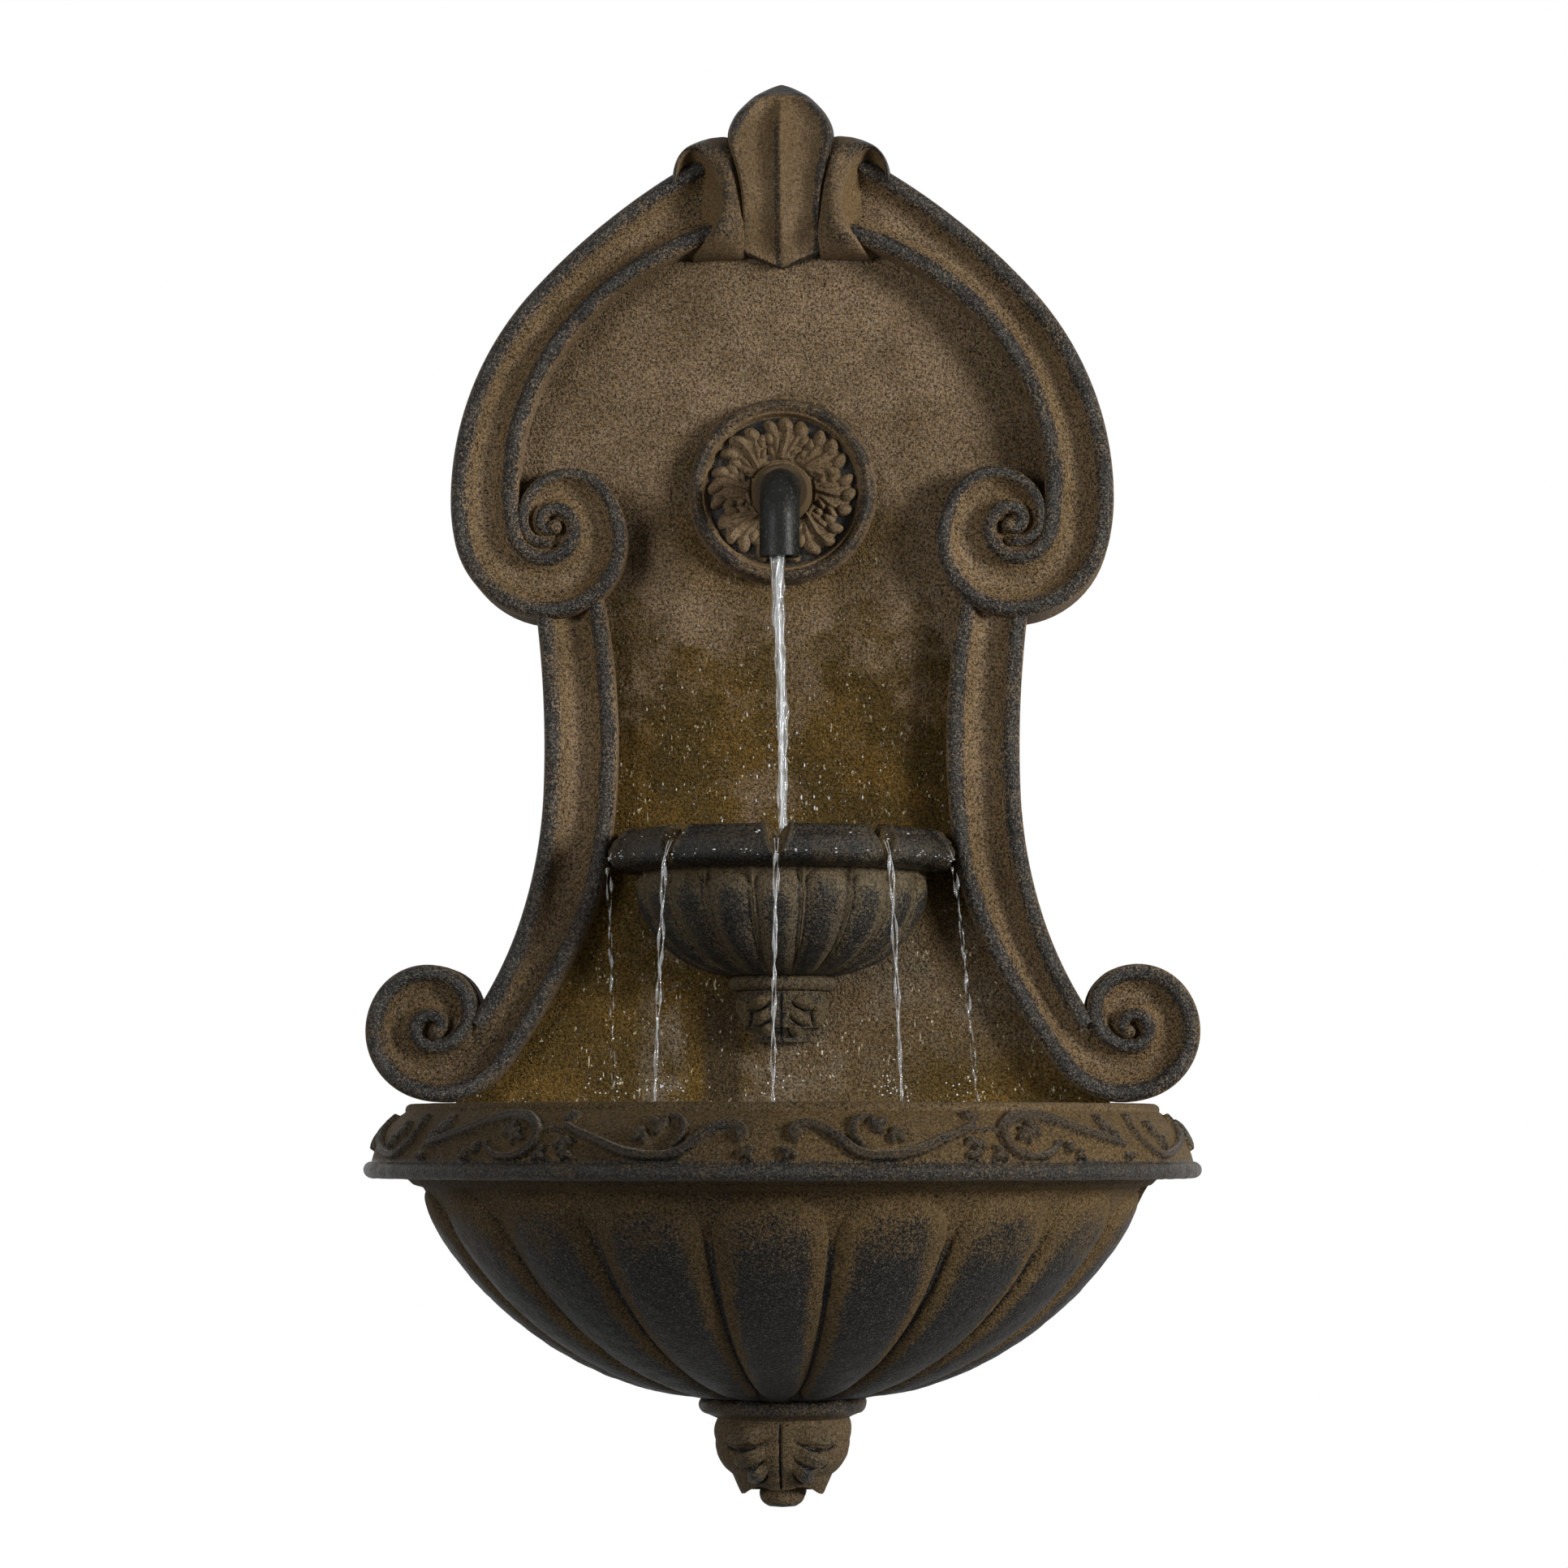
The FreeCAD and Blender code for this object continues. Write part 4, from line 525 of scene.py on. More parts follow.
BUDS = [(3.9, -18.6, 2), (17.6, -18.6, 2), (38.4, -18, 2.1), (43.1, -26.3, 2.8), (28, -24, 1.7)]


def vine(angle, z):
    """Height of the vine above the frieze."""
    s, n = np.broadcast_arrays(np.radians(np.abs(angle)) * VINE_R, z)
    h = np.zeros(s.shape)
    for points, width in STEMS:
        line = spline([(radians(a) * VINE_R, b) for a, b in points])
        low, high = line.min(0) - 4, line.max(0) + 4
        near = (s > low[0]) & (s < high[0]) & (n > low[1]) & (n < high[1])
        q = np.stack([s[near], n[near]], 1)
        d2 = ((q[:, None] - line[None]) ** 2).sum(-1)
        share = d2.argmin(1) / (len(line) - 1)
        w = 1.3 * width * (0.5 + 0.5 * np.sin(np.clip(share, 0.02, 0.98) * pi) ** 0.5)
        d = np.sqrt(d2.min(1)) / w
        ridge = np.sqrt(unit(1 - d * d)) - 0.3 * bell(d, 0, 0.28)
        h[near] = np.maximum(h[near], 5 * (w / 2.5) ** 0.5 * ridge)
    shapes = [(radians(a) * VINE_R, b, 1.3 * size, 1.3 * size, 0, 4.6) for a, b, size in BUDS]
    for a, b, turn, size in SPRIGS:
        for spread, length in SPRIG_LEAVES:
            g = radians(turn + spread)
            reach = 4.4 * size * length
            shapes.append((radians(a) * VINE_R + reach * cos(g), b + reach * sin(g), reach, 2.1 * size,
                           turn + spread, 4.2))
    return np.maximum(h, bumps(s, n, shapes))


def basin():
    """A gadrooned half bowl under a bead and a frieze with a vine, plain inside and flat at the back."""
    outer = outline(
        [(46, BASIN_BOTTOM), (50, BASIN_BOTTOM)], (219, -54, 130, 26.3), (223, -47.5, 5), (245, -44.5, 12, -4),
        (247, -44.5, 2), (247, -34.5, 14, 4.99), (227, -5, 48, 3.5), (223.2, 0, 6, 1.4), (215, 0, 4),
        (BASIN_R, -1.2, 3, 0.4))
    wide, p, r, z = half_round(outer, 981, 13, 0)
    on_body = (np.arange(len(outer)) < BASIN_BODY_POINTS)[None]
    on_side = (np.abs(p[..., 1] - FIELD_Y) < 60) & (np.abs(wide) == 90)
    half = np.radians(LOBE / 2) * (0.93 + 0.05 * smooth(unit((-54 - z) / 122), 0.1, 0.9))
    b = np.clip((z + 84.5) / 30, 0, 1.2) + np.clip((-168 - z) / 10, 0, 1.2)
    q = squircle(np.abs(np.radians(from_lobe(wide))) / half, b, 2.4)
    sunk = smooth(-z, 47.5, 54)
    fluted = on_body * sunk
    body = (6.4 * unit(1 - q ** 2.2) ** 0.5 - 5.2) * fluted * fade(-z, 174, 176.5)
    frieze = (z > -34.6) & (z < -4.5)
    columns = frieze[0]
    relief = np.zeros(p.shape[:2])
    relief[:, columns] = vine(wide, z[:, columns]) * (smooth(z, -34.5, -31.5) * fade(z, -8, -5))[:, columns]
    rough = 0.3 * noise(p, 8, 13) + 0.13 * noise(p, 2.8, 14)
    push(p, wide, outer, body + relief + np.where(z < -1, rough, 0.3 * rough) - 0.25)
    p[..., 0] = np.clip(p[..., 0], -BASIN_HALF_WIDTH, BASIN_HALF_WIDTH)
    bead_band = bell(z, -39.5, 6, 4) * (r > 240)
    # Patina on the gadroons is heavier towards the bottom and lifted along each gadroon's rim: painted shade low down
    # and a painted highlight on the rims, over the real patina.
    core = smooth(1 - q, 0.15, 0.52) * fluted * (0.42 + 0.58 * smooth(-z, 66, 112))
    crest = bell(q, 0.87, 0.1) * fluted * fade(-z, 120, 165)
    web = bell(q, 1.03, 0.035) * fluted * smooth(-z, 66, 100)
    hollow = unit(1 - np.abs(q - 1.05) / 0.16) * fluted
    under = smooth(-z, 47, 52)
    # A painted shadow line round the foot of the vine, and a painted highlight along its upward-facing flanks.
    painted_shadow_line = bell(relief, 0.5, 0.6) * (relief > 0.02)
    raised = smooth(relief, 1, 2.4)
    upper_flank = np.zeros(relief.shape)
    upper_flank[:, columns] = smooth(-np.gradient(relief[:, columns], axis=1) / np.gradient(z[0, columns]), 0.5, 1.6)
    painted_highlight = 0.9 * upper_flank * smooth(relief, 1.6, 3)
    patina = unit(0.2 * under + 0.84 * core - 0.34 * crest + 0.8 * bead_band + 0.38 * raised + 0.9 * painted_shadow_line
                  + 0.55 * (q > 0.98) * on_body * smooth(-z, 78, 130) + 0.5 * smooth(-z, 172, 175)
                  + 0.2 * bell(z, -34, 1.6) * frieze + 0.15 * smooth(-z, 120, 170))
    warm = unit(0.5 * under + 0.3 * hollow + 0.5 * bell(z, -50, 5.5) + 0.85 * frieze * fade(relief, 0.3, 1.2))
    warm[on_side] *= 0.6
    build = Build()
    build.grid(p, unit(patina + 0.8 * web), warm, wet=0.3 * bead_band + 0.2 * frieze + 0.5 * raised * (1 - painted_highlight),
               painted_highlight=painted_highlight + 0.06 * bead_band)
    inner = outline(
        [(BASIN_R, -1.2)], (BASIN_R, -39.5, 12), (209, -54, 5), (90.9, BASIN_FLOOR, 40, -15.06), (0.5, BASIN_FLOOR, 8))
    wide, p, *_ = half_round(inner, 241, 6, BASIN_BACK_Y)
    push(p, wide, inner, 0.3 * noise(p, 8, 15))
    build.grid(p, 0.25, 0.35)
    xs = np.linspace(-BASIN_R, BASIN_R, 220)[:, None]
    build.grid(xyz(xs, [[0, -2.2, -4.8, BASIN_BACK_Y]], 0), 0.3, 0.2)
    zs = np.linspace(0, -160, 60)[None]
    reach = np.interp(-zs, -inner[:-8, 1], inner[:-8, 0])
    build.grid(xyz(np.clip(xs, -reach, reach), BASIN_BACK_Y, zs), 0.25, 0.35)
    zs = np.linspace(0, BASIN_BOTTOM, 60)[None]
    limit = np.interp(-zs, -outer[::-1, 1], outer[::-1, 0])
    build.grid(xyz(np.linspace(-1, 1, 80)[:, None] * (limit - 0.5), 0, zs), 0.2, 0.2, flip=True)
    return build


def basin_finial():
    """A collar over drooping leaves, and a small foot."""
    profile = outline(
        [(44, -174.4), (46, -174.8)], (45.5, -185, 16, -4.5), (39, -188, 4), (40, -201, 26, -1.5), (30, -221, 40, -3),
        (24.5, -230, 20), (12, -228, 8), (8, -240.5, 18, -3.4), (0.3, -241, 6))[::-1]
    wide, p, r, z = half_round(profile, 361, 14, 0)
    s = np.abs(np.radians(wide)) * FINIAL_R
    low = (z < -188.5) & (z > -229.8) & (r > 20)
    lobes, moat = leaf_lobes(s, z, [(20, -198, 14.5, 6.2, -14), (18, -209, 12.5, 5.6, -20), (16.5, -219, 10, 4.8, -30)])
    tips = bumps(s, z, [(33.5, -203, 2.8, 1.5, -40, 1), (29.5, -215.5, 2.4, 1.4, -50, 1)])
    groove = bell(s, 0, 0.9)
    veins = np.sin((z + 0.25 * s) * 1.9) * lobes
    relief = low * (6.6 * lobes - 2.6 * moat - 2.4 * groove - 3 * tips + 0.4 * veins)
    relief = relief * smooth(-z, 188.4, 191.5) * fade(-z, 228.5, 229.8) * (1 - 0.6 * smooth(s, 40, 52))
    push(p, wide, profile, relief + 0.22 * noise(p, 5, 16))
    p[..., 2] -= 3 * smooth(np.abs(wide), 48, 80) * smooth(-z, 220, 230) * (r > 22)
    p[..., 2] += 2.2 * bell(np.abs(wide), 30, 16) * smooth(-z, 224, 230) * (r > 18)
    collar = (z > -186) & (r > 40)
    shade = 0.34 * smooth(lobes, 0.3, 0.7) + 0.25 * smooth(-z, 200, 222) + 1.3 * moat + 1.2 * tips + groove
    build = Build()
    build.grid(p, unit(0.58 * collar + low * shade + 0.8 * smooth(-z, 237, 240)), np.where(low, 0.5 * (1 - lobes), 0.1),
               wet=low * (0.9 * moat + 0.15 * lobes))
    across = np.linspace(0, 1, 60)[None, :, None]
    build.grid(p[0][:, None] * (1 - across) + p[-1][:, None] * across, 0.3, 0.2, flip=True)
    return build


# Upper bowl and its bracket
def upper_bowl():
    """A small gadrooned half bowl with a thick lip that is notched where the water runs over."""
    outer = outline(
        [(26, 77), (32, 77)], (90, 136, 80, 15), (98, 137, 6, 0.4), (106, 146, 12, 2.5), (100, 157, 12, 1.5),
        (92, 162, 8, 1.5), (87, 162, 4), (85.4, 159.6, 4, 0.5), (82, 136, 16), (28, 85, 34, -13), (0.5, 85, 6))
    wide, p, _, z = half_round(outer, 721)
    step = np.arange(len(outer))[None]
    on_body = step < BOWL_BODY_POINTS
    on_lip = ~on_body & (z > 130) & (step < BOWL_LIP_POINTS)
    s = np.min([np.abs(np.radians(wide - a)) * BOWL_LIP_R for a in NOTCHES], axis=0)
    phi = from_lobe(wide)
    b = np.clip((z - 117) / 18, 0, 1.2)
    lobe = unit(1 - squircle(np.abs(phi) / 10, b, 2.6) ** 2.2) ** 0.5
    arris = bell(np.abs(phi), 10, 0.9) * smooth(z, 80, 95)
    lift = on_body * (6.4 * lobe - 5.4 + 3.2 * arris) * smooth(z, 76, 88)
    v = np.interp(z, [136, 142, 150, 157, 162], [1.2, 2.4, 4.8, 7, 8])
    notch = unit(1 - s / v) * on_lip
    cut_face = smooth(notch, 0, 0.2)
    flap = bell(s - v, 1.5, 1.5) * on_lip * smooth(z, 140, 150)
    lift += on_lip * (1.2 * flap - 0.6 - 6 * notch ** 0.75 * smooth(z, 135, 141))
    push(p, wide, outer, lift + 0.3 * noise(p, 7, 17) + 0.12 * noise(p, 2.6, 18))
    p[..., 2] += 2.5 * smooth(z, 118, 138)
    cut = np.where(~on_body & (s < 8.6), 153.5 + 11.5 * (s / 7) ** 0.85, BOWL_TOP)
    p[..., 2] = np.minimum(p[..., 2], np.minimum(cut, BOWL_TOP))
    side = (np.abs(p[..., 0]) > BOWL_SIDE_X) & (p[..., 1] > -49.5)
    p[..., 0] = np.where(side, np.sign(p[..., 0]) * BOWL_SIDE_X, p[..., 0])
    pit = bell(np.abs(phi), 8.4, 0.55) * smooth(z, 80, 92) * fade(z, 126, 134)
    # Each gadroon's patina core sits off its middle and thins towards the lip: painted shade on one side and low down,
    # over the real patina.
    core = smooth(1 - np.hypot((phi * np.sign(wide) + 1.5) / 9, b), 0.05, 0.7)
    patina = unit(on_body * (0.12 + 0.62 * core * (1 - 0.5 * smooth(z, 118, 132)) + 0.55 * pit - 0.3 * arris)
                  + on_lip * (0.62 + 0.25 * noise(p, 16, 23) - 0.7 * cut_face - 0.45 * flap))
    warm = unit(np.where(on_body, 0.35 * fade(lobe, 0.3, 0.9), 0.15) + 0.9 * cut_face + 0.5 * flap + 0.4 * (step > 130))
    build = Build()
    build.grid(p, patina, warm, wet=np.where(on_lip, 0.8 - 0.7 * cut_face, 0.12))
    x, t = np.linspace(-92, 92, 90)[:, None], np.linspace(0, 1, 30)[None]
    low = np.interp(np.abs(x), [0, 28, 50, 70, 82, 86, 92], [85, 85, 95, 114, 136, 152, 161])
    build.grid(xyz(x, BOWL_BACK_Y, BOWL_TOP - (BOWL_TOP - low) * t), 0.3, 0.4)
    build.grid(xyz(x, FIELD_Y - 0.3 - 7.7 * t, BOWL_TOP), 0.4, 0.3, flip=True)
    return build


def upper_corbel():
    """The bracket under the bowl: a ring over leaves that fold round a narrow foot."""
    profile = outline(
        [(26, 77), (29, 77)], (29, 68, 16, -3.5), (26, 68, 4), (27, 61, 14, -1), (24, 45, 40, 1.5), (17, 37, 14, 1.6),
        (0.3, 37, 5))[::-1]
    wide, p, _, z = half_round(profile, 241)
    s = np.abs(np.radians(wide)) * CORBEL_R
    low = z < 67
    lobes, moat = leaf_lobes(s, z, [
        (12, 60.5, 8.5, 4, -28), (11, 52, 8, 3.8, -34), (8.5, 44, 6, 3.2, -42), (24, 55, 10, 4, -75),
        (31, 57, 10, 4, -80)])
    relief = low * (5 * lobes - 2 * moat - 1.6 * bell(s, 0, 0.8) - 1.4) * fade(z, 65.5, 67.5) * smooth(z, 37, 40)
    push(p, wide, profile, relief + 0.2 * noise(p, 4, 19))
    # The dark line under each leaf lobe is painted shade in its groove.
    patina = unit(np.where(low, 0.45 * fade(lobes, 0.1, 0.5) + 0.7 * moat + bell(s, 0, 0.9), 0.3))
    return Build().grid(p, patina, np.where(low, 0.45, 0.2))


# Water
def strand(build, path, radius, sides, seed, caps=True):
    """A thread of water along points (x, y, z), with a radius at each."""
    radius = np.array(radius, float)[:, None]
    if caps:
        radius[0] = radius[-1] = 0.01
    t = sweep(0, 360, sides + 1)[None]
    ring = np.stack([np.cos(t), np.sin(t)], -1)
    p = xyz(path[:, :1] + radius * ring[..., 0], path[:, 1:2] + radius * ring[..., 1], path[:, 2:3])
    p[..., :2] += (0.35 * radius * noise(p * (1.4, 1.4, 0.35), 2.2, seed))[..., None] * ring
    build.grid(p, flip=True)


def main_jet():
    """Three threads twisted about each other from the spout to the bowl."""
    build = Build()
    z = np.linspace(328, 150.5, 360)
    t = (328 - z) / 180
    x = -0.6 + 3.4 * t + 0.5 * np.sin(z / 17)
    y = -82 - 1.5 * t
    wide = 5.3 - 2.4 * t ** 0.6 + 0.35 * np.sin(z / 9 + 1) + 0.25 * np.sin(z / 4.1)
    for k, (turn, share, size) in enumerate(((0, 0.42, 0.62), (2.1, 0.46, 0.5), (4.2, 0.4, 0.45))):
        a = turn + z / 34
        path = xyz(x + wide * share * np.cos(a), y + wide * share * np.sin(a), z)
        strand(build, path, wide * size * (1 + 0.18 * np.sin(z / (5 + k) + k)), 16, 30 + k, caps=False)
    return build


def stream(build, top, foot, seed, broken):
    """Two threads that twist about each other as they fall, broken into drops by the given amount."""
    t = np.linspace(0, 1, 300)
    x, y, z = (a + (b - a) * t ** power for a, b, power in zip(top, foot, (0.85, 0.6, 1)))
    for k in (0, 1):
        a = z / 11 + pi * k + seed
        gap = 1.25 + 0.35 * np.sin(z / 23 + seed)
        path = xyz(x + gap * np.cos(a) * (1 - 0.3 * t), y + gap * np.sin(a), z)
        radius = 0.66 + 0.4 * np.sin(z / 2.9 + seed + 2 * k) + 0.3 * noise(path, 5, seed + k)
        radius = np.clip(0.86 * radius * (1.05 - 0.25 * t), 0.2, 2)
        if broken:
            beads = np.clip(np.sin(z / 2.3 + seed + 2 * k) + 0.55 * noise(path, 9, seed) + 1 - broken * t, 0, 1.1)
            radius = np.clip(radius * beads, 0.02, 2)
        strand(build, path, radius, 8, 40 + seed + k)


# Where each thin stream leaves the lip, where it meets the basin's water, and how broken it is.
STREAMS = [
    ((-103.5, -56, 141.5), (-99.5, -64, POOL_Z), 1.35), ((-66, -115.5, 145.5), (-72, -122, POOL_Z), 0),
    ((0, -137, 145.5), (-2, -143, POOL_Z), 0), ((66, -115.5, 145.5), (73, -122, POOL_Z), 0), ((103.5, -56, 141.5),
    (118, -66, POOL_Z), 0.5)]


def thin_streams():
    build = Build()
    for k, (top, foot, broken) in enumerate(STREAMS):
        stream(build, top, foot, 3 * k + 1, broken)
    t = np.linspace(0, 1, 40)
    r = 88 + 16.5 * np.minimum(t / 0.8, 1) + 2.5 * unit(t - 0.8) / 0.2
    z = 155.1 - t - 9 * unit(t - 0.7) / 0.3
    for k, angle in enumerate(NOTCHES):
        c, s = cos(radians(angle)), sin(radians(angle))
        for side in (-1, 1):
            offset = side * (2 * (1 - t) + 0.6)
            strand(build, xyz(r * s + offset * c, FIELD_Y - r * c + offset * s, z), 0.5 - 0.15 * t, 8, 60 + k)
    return build


def blob(build, centre, radius, stretch=(1, 1, 1)):
    a, t = sweep(-90, 90, 6)[None], sweep(0, 360, 9)[:, None]
    p = xyz(np.cos(a) * np.cos(t), np.cos(a) * np.sin(t), np.sin(a))
    build.grid(p * radius * np.array(stretch) + np.array(centre))


def spray():
    """Drops thrown on the field round the bowl, on its lip and beads, and at the feet of the streams."""
    build = Build()
    rng = np.random.default_rng(7)
    for _ in range(300):
        x = rng.normal(0, 55)
        z = rng.uniform(20, 300) if rng.random() < 0.45 else rng.normal(195, 26)
        if abs(x) > 101 or (abs(x) < 30 and z < 84):
            continue
        size = 0.14 + 0.34 * rng.random() ** 4
        blob(build, (x, FIELD_Y - 0.1, z), size, (1, 0.7, rng.uniform(1, 3.4)))
    for _ in range(90):
        a = radians(rng.uniform(-80, 80))
        r, z = (106, rng.normal(147, 1.4)) if rng.random() < 0.65 else (101.5, rng.uniform(154.5, 159))
        size = rng.uniform(0.18, 0.5)
        blob(build, (r * sin(a), FIELD_Y - r * cos(a), z), size, (rng.uniform(1, 2.2), 1, 0.8))
    for _ in range(150):
        x = rng.choice([-101, -69, 0, 69, 110]) + rng.normal(0, 7)
        blob(build, (x, rng.uniform(-140, -70), rng.uniform(-6, 16)), rng.uniform(0.2, 0.55))
    return build


def pool(radius, rows, columns, level, back_y, feet, swell):
    """Half-round water with rings about the feet (x, y, size) of the streams, and a swell (height, size, seed)."""
    r, t = np.linspace(0.2, radius, rows)[None], sweep(-90, 90, columns)[:, None]
    x, y = r * np.sin(t), np.minimum(FIELD_Y - r * np.cos(t), back_y)
    rings = 0
    for cx, cy, size in feet:
        d = np.hypot(x - cx, y - cy)
        rings = rings + size * np.cos(d / 2.3) * np.exp(-d / 16)
    height, *pattern = swell
    return Build().grid(xyz(x, y, level + rings + height * noise(xyz(x, y, 0), *pattern)))


def bowl_water():
    return pool(83.6, 60, 121, BOWL_POOL_Z, BOWL_BACK_Y - 0.1, [(2.5, -83, 0.9)], (0.2, 7, 21))


def basin_water():
    """The basin's water, also beside the panel's tongue, where it reaches back to the wall."""
    radius, tongue = BASIN_R - 0.1, 128.4
    sizes = (0.7, 0.8, 0.9, 0.8, 0.8)
    feet = [(foot[0], foot[1], size) for (_, foot, _), size in zip(STREAMS, sizes)]
    build = pool(radius, 150, 241, POOL_Z, FIELD_Y, feet, (0.25, 11, 22))
    back = np.linspace(BASIN_BACK_Y - 0.1, FIELD_Y, 8)[None]
    for low, high in ((-radius, -tongue), (tongue, radius)):
        build.grid(xyz(np.linspace(low, high, 40)[:, None], back, POOL_Z), flip=True)
    return build


# Materials
class Nodes:
    """Short ways to add nodes to a material or the world."""

    def __init__(self, owner):
        owner.use_nodes = True
        self.owner, self.nodes, self.links = owner, owner.node_tree.nodes, owner.node_tree.links

    def put(self, value, socket):
        if isinstance(value, bpy.types.NodeSocket):
            self.links.new(value, socket)
        else:
            socket.default_value = value

    def node(self, kind, inputs, output=0, **settings):
        node = self.nodes.new("ShaderNode" + kind)
        for key, value in settings.items():
            setattr(node, key, value)
        for key, value in inputs.items():
            self.put(value, node.inputs[key])
        return node.outputs[output]

    def math(self, operation, a, b=0, clamp=False):
        return self.node("Math", {0: a, 1: b}, operation=operation, use_clamp=clamp)

    def ray_switch(self):
        """1 where the camera looks straight, by reflection or through glass; 0 for light that falls on the object."""
        path = self.nodes.new("ShaderNodeLightPath").outputs
        seen = self.math("MAXIMUM", path["Is Camera Ray"], path["Is Glossy Ray"])
        return self.math("MAXIMUM", seen, path["Is Transmission Ray"])


class Tree(Nodes):
    def __init__(self, name):
        super().__init__(bpy.data.materials.new(name))
        self.shader = self.nodes["Principled BSDF"]
        self.place = self.node("TexCoord", {}, "Object")

    def noise(self, scale, detail=3, rough=0.55, where=None):
        inputs = {"Scale": scale, "Detail": detail, "Roughness": rough, "Vector": where or self.place}
        return self.node("TexNoise", inputs, "Fac")

    def ramp(self, value, low, high, to_low=0, to_high=1):
        inputs = {"Value": value, "From Min": low, "From Max": high, "To Min": to_low, "To Max": to_high}
        return self.node("MapRange", inputs, "Result", interpolation_type="SMOOTHSTEP")

    def times(self, *values):
        return reduce(lambda a, b: self.math("MULTIPLY", a, b), values)

    def plus(self, *values):
        return reduce(lambda a, b: self.math("ADD", a, b), values)

    def minus(self, a, b):
        return self.math("SUBTRACT", a, b)

    def swing(self, value, amount):
        """A value about 0.5 turned into one about 0."""
        return self.times(self.minus(value, 0.5), amount)

    def mix(self, factor, a, b):
        a, b = (v if isinstance(v, bpy.types.NodeSocket) else (*v, 1) for v in (a, b))
        return self.node("Mix", {"Factor": factor, 6: a, 7: b}, 2, data_type="RGBA")

    def scale(self, colour, factor):
        return self.node("VectorMath", {0: colour, "Scale": factor}, operation="SCALE")

    def axes(self, vector=None):
        node = self.nodes.new("ShaderNodeSeparateXYZ")
        self.links.new(vector or self.place, node.inputs[0])
        return node.outputs

    def attribute(self, name):
        return self.node("Attribute", {}, "Fac", attribute_name=name)

    def bump(self, height, distance, strength):
        return self.node("Bump", {"Distance": distance, "Strength": strength, "Height": height}, "Normal")

    def set(self, **values):
        for key, value in values.items():
            self.put((*value, 1) if isinstance(value, tuple) else value, self.shader.inputs[key.replace("_", " ")])
        return self.owner


TAN = (0.15, 0.103, 0.06)
BROWN = (0.09, 0.06, 0.031)
UMBER = (0.024, 0.016, 0.009)
OCHRE = (0.11, 0.066, 0.022)
OLIVE = (0.046, 0.028, 0.006)
AMBER = (0.072, 0.041, 0.008)
GREY = (0.094, 0.074, 0.05)
GLINT = (0.5, 0.44, 0.32)
PATINA = (0.012, 0.0122, 0.012)
PAINTED_SHEEN = (0.15, 0.14, 0.12)
DUST_AND_SHEEN = (0.26, 0.24, 0.21)
PAINTED_HIGHLIGHT_TONE = (0.27, 0.25, 0.21)


def stain(t, colour, patch, blotch):
    """Wet olive and amber stain on the field, from below the rosette to the basin; drier on the right of the bracket.
    Lengths are in metres."""
    x, y, z = t.axes()
    facing = t.axes(t.node("NewGeometry", {}, "True Normal"))[1]
    near = t.times(t.ramp(y, -0.046, -0.032), t.ramp(facing, -0.35, -0.75))
    shifted = t.plus(z, t.swing(patch, 0.2), t.swing(blotch, 0.12))
    wide = t.math("ABSOLUTE", x)
    from_rosette = t.math("SQRT", t.plus(t.times(x, x), t.math("POWER", t.plus(z, 0.098), 2)))
    halo = t.times(t.ramp(from_rosette, 0.092, 0.056), t.ramp(z, -0.085, -0.125), 0.7)
    wet = t.times(near, t.math("MAXIMUM", t.ramp(shifted, -0.158, -0.235), halo))
    veil = t.ramp(t.plus(t.noise(17, 5, 0.62), t.ramp(wide, 0, 0.085, 0.02, 0.24)), 0.35, 0.54)
    low = t.ramp(z, -0.335, -0.372)
    right = t.ramp(t.plus(x, t.swing(patch, 0.05)), -0.034, -0.012)
    corner = t.times(t.ramp(z, -0.415, -0.46), t.ramp(wide, 0.02, 0.1))
    dry = t.times(low, right, t.minus(1, corner), 0.85)
    colour = t.mix(t.times(wet, 0.55), colour, BROWN)
    tint = t.mix(t.ramp(t.noise(26), 0.42, 0.62), OLIVE, AMBER)
    strength = t.times(wet, t.math("MAXIMUM", veil, t.times(low, 0.8)), t.minus(1, t.times(dry, 0.86)))
    colour = t.mix(strength, colour, tint)
    stripe = t.minus(t.ramp(x, -0.092, -0.078), t.ramp(x, -0.066, -0.054))
    pale = t.math("ADD", t.times(dry, 0.85), stripe, clamp=True)
    colour = t.mix(t.times(near, low, t.ramp(patch, 0.38, 0.62), pale, 0.75), colour, GREY)
    stripe = t.minus(t.ramp(x, -0.052, -0.043), t.ramp(x, -0.029, -0.021))
    streak = t.times(near, t.ramp(z, -0.385, -0.415), t.ramp(shifted, -0.3, -0.42, 0.3, 1), stripe, 0.72)
    colour = t.mix(streak, colour, UMBER)
    upright = t.node("VectorMath", {0: t.place, 1: (1, 1, 0.45)}, operation="MULTIPLY")
    glint = t.ramp(t.noise(620, 1, 0.5, upright), 0.68, 0.71)
    return t.mix(t.times(glint, wet, t.ramp(t.noise(60, 2), 0.42, 0.64), 0.6), colour, GLINT), wet


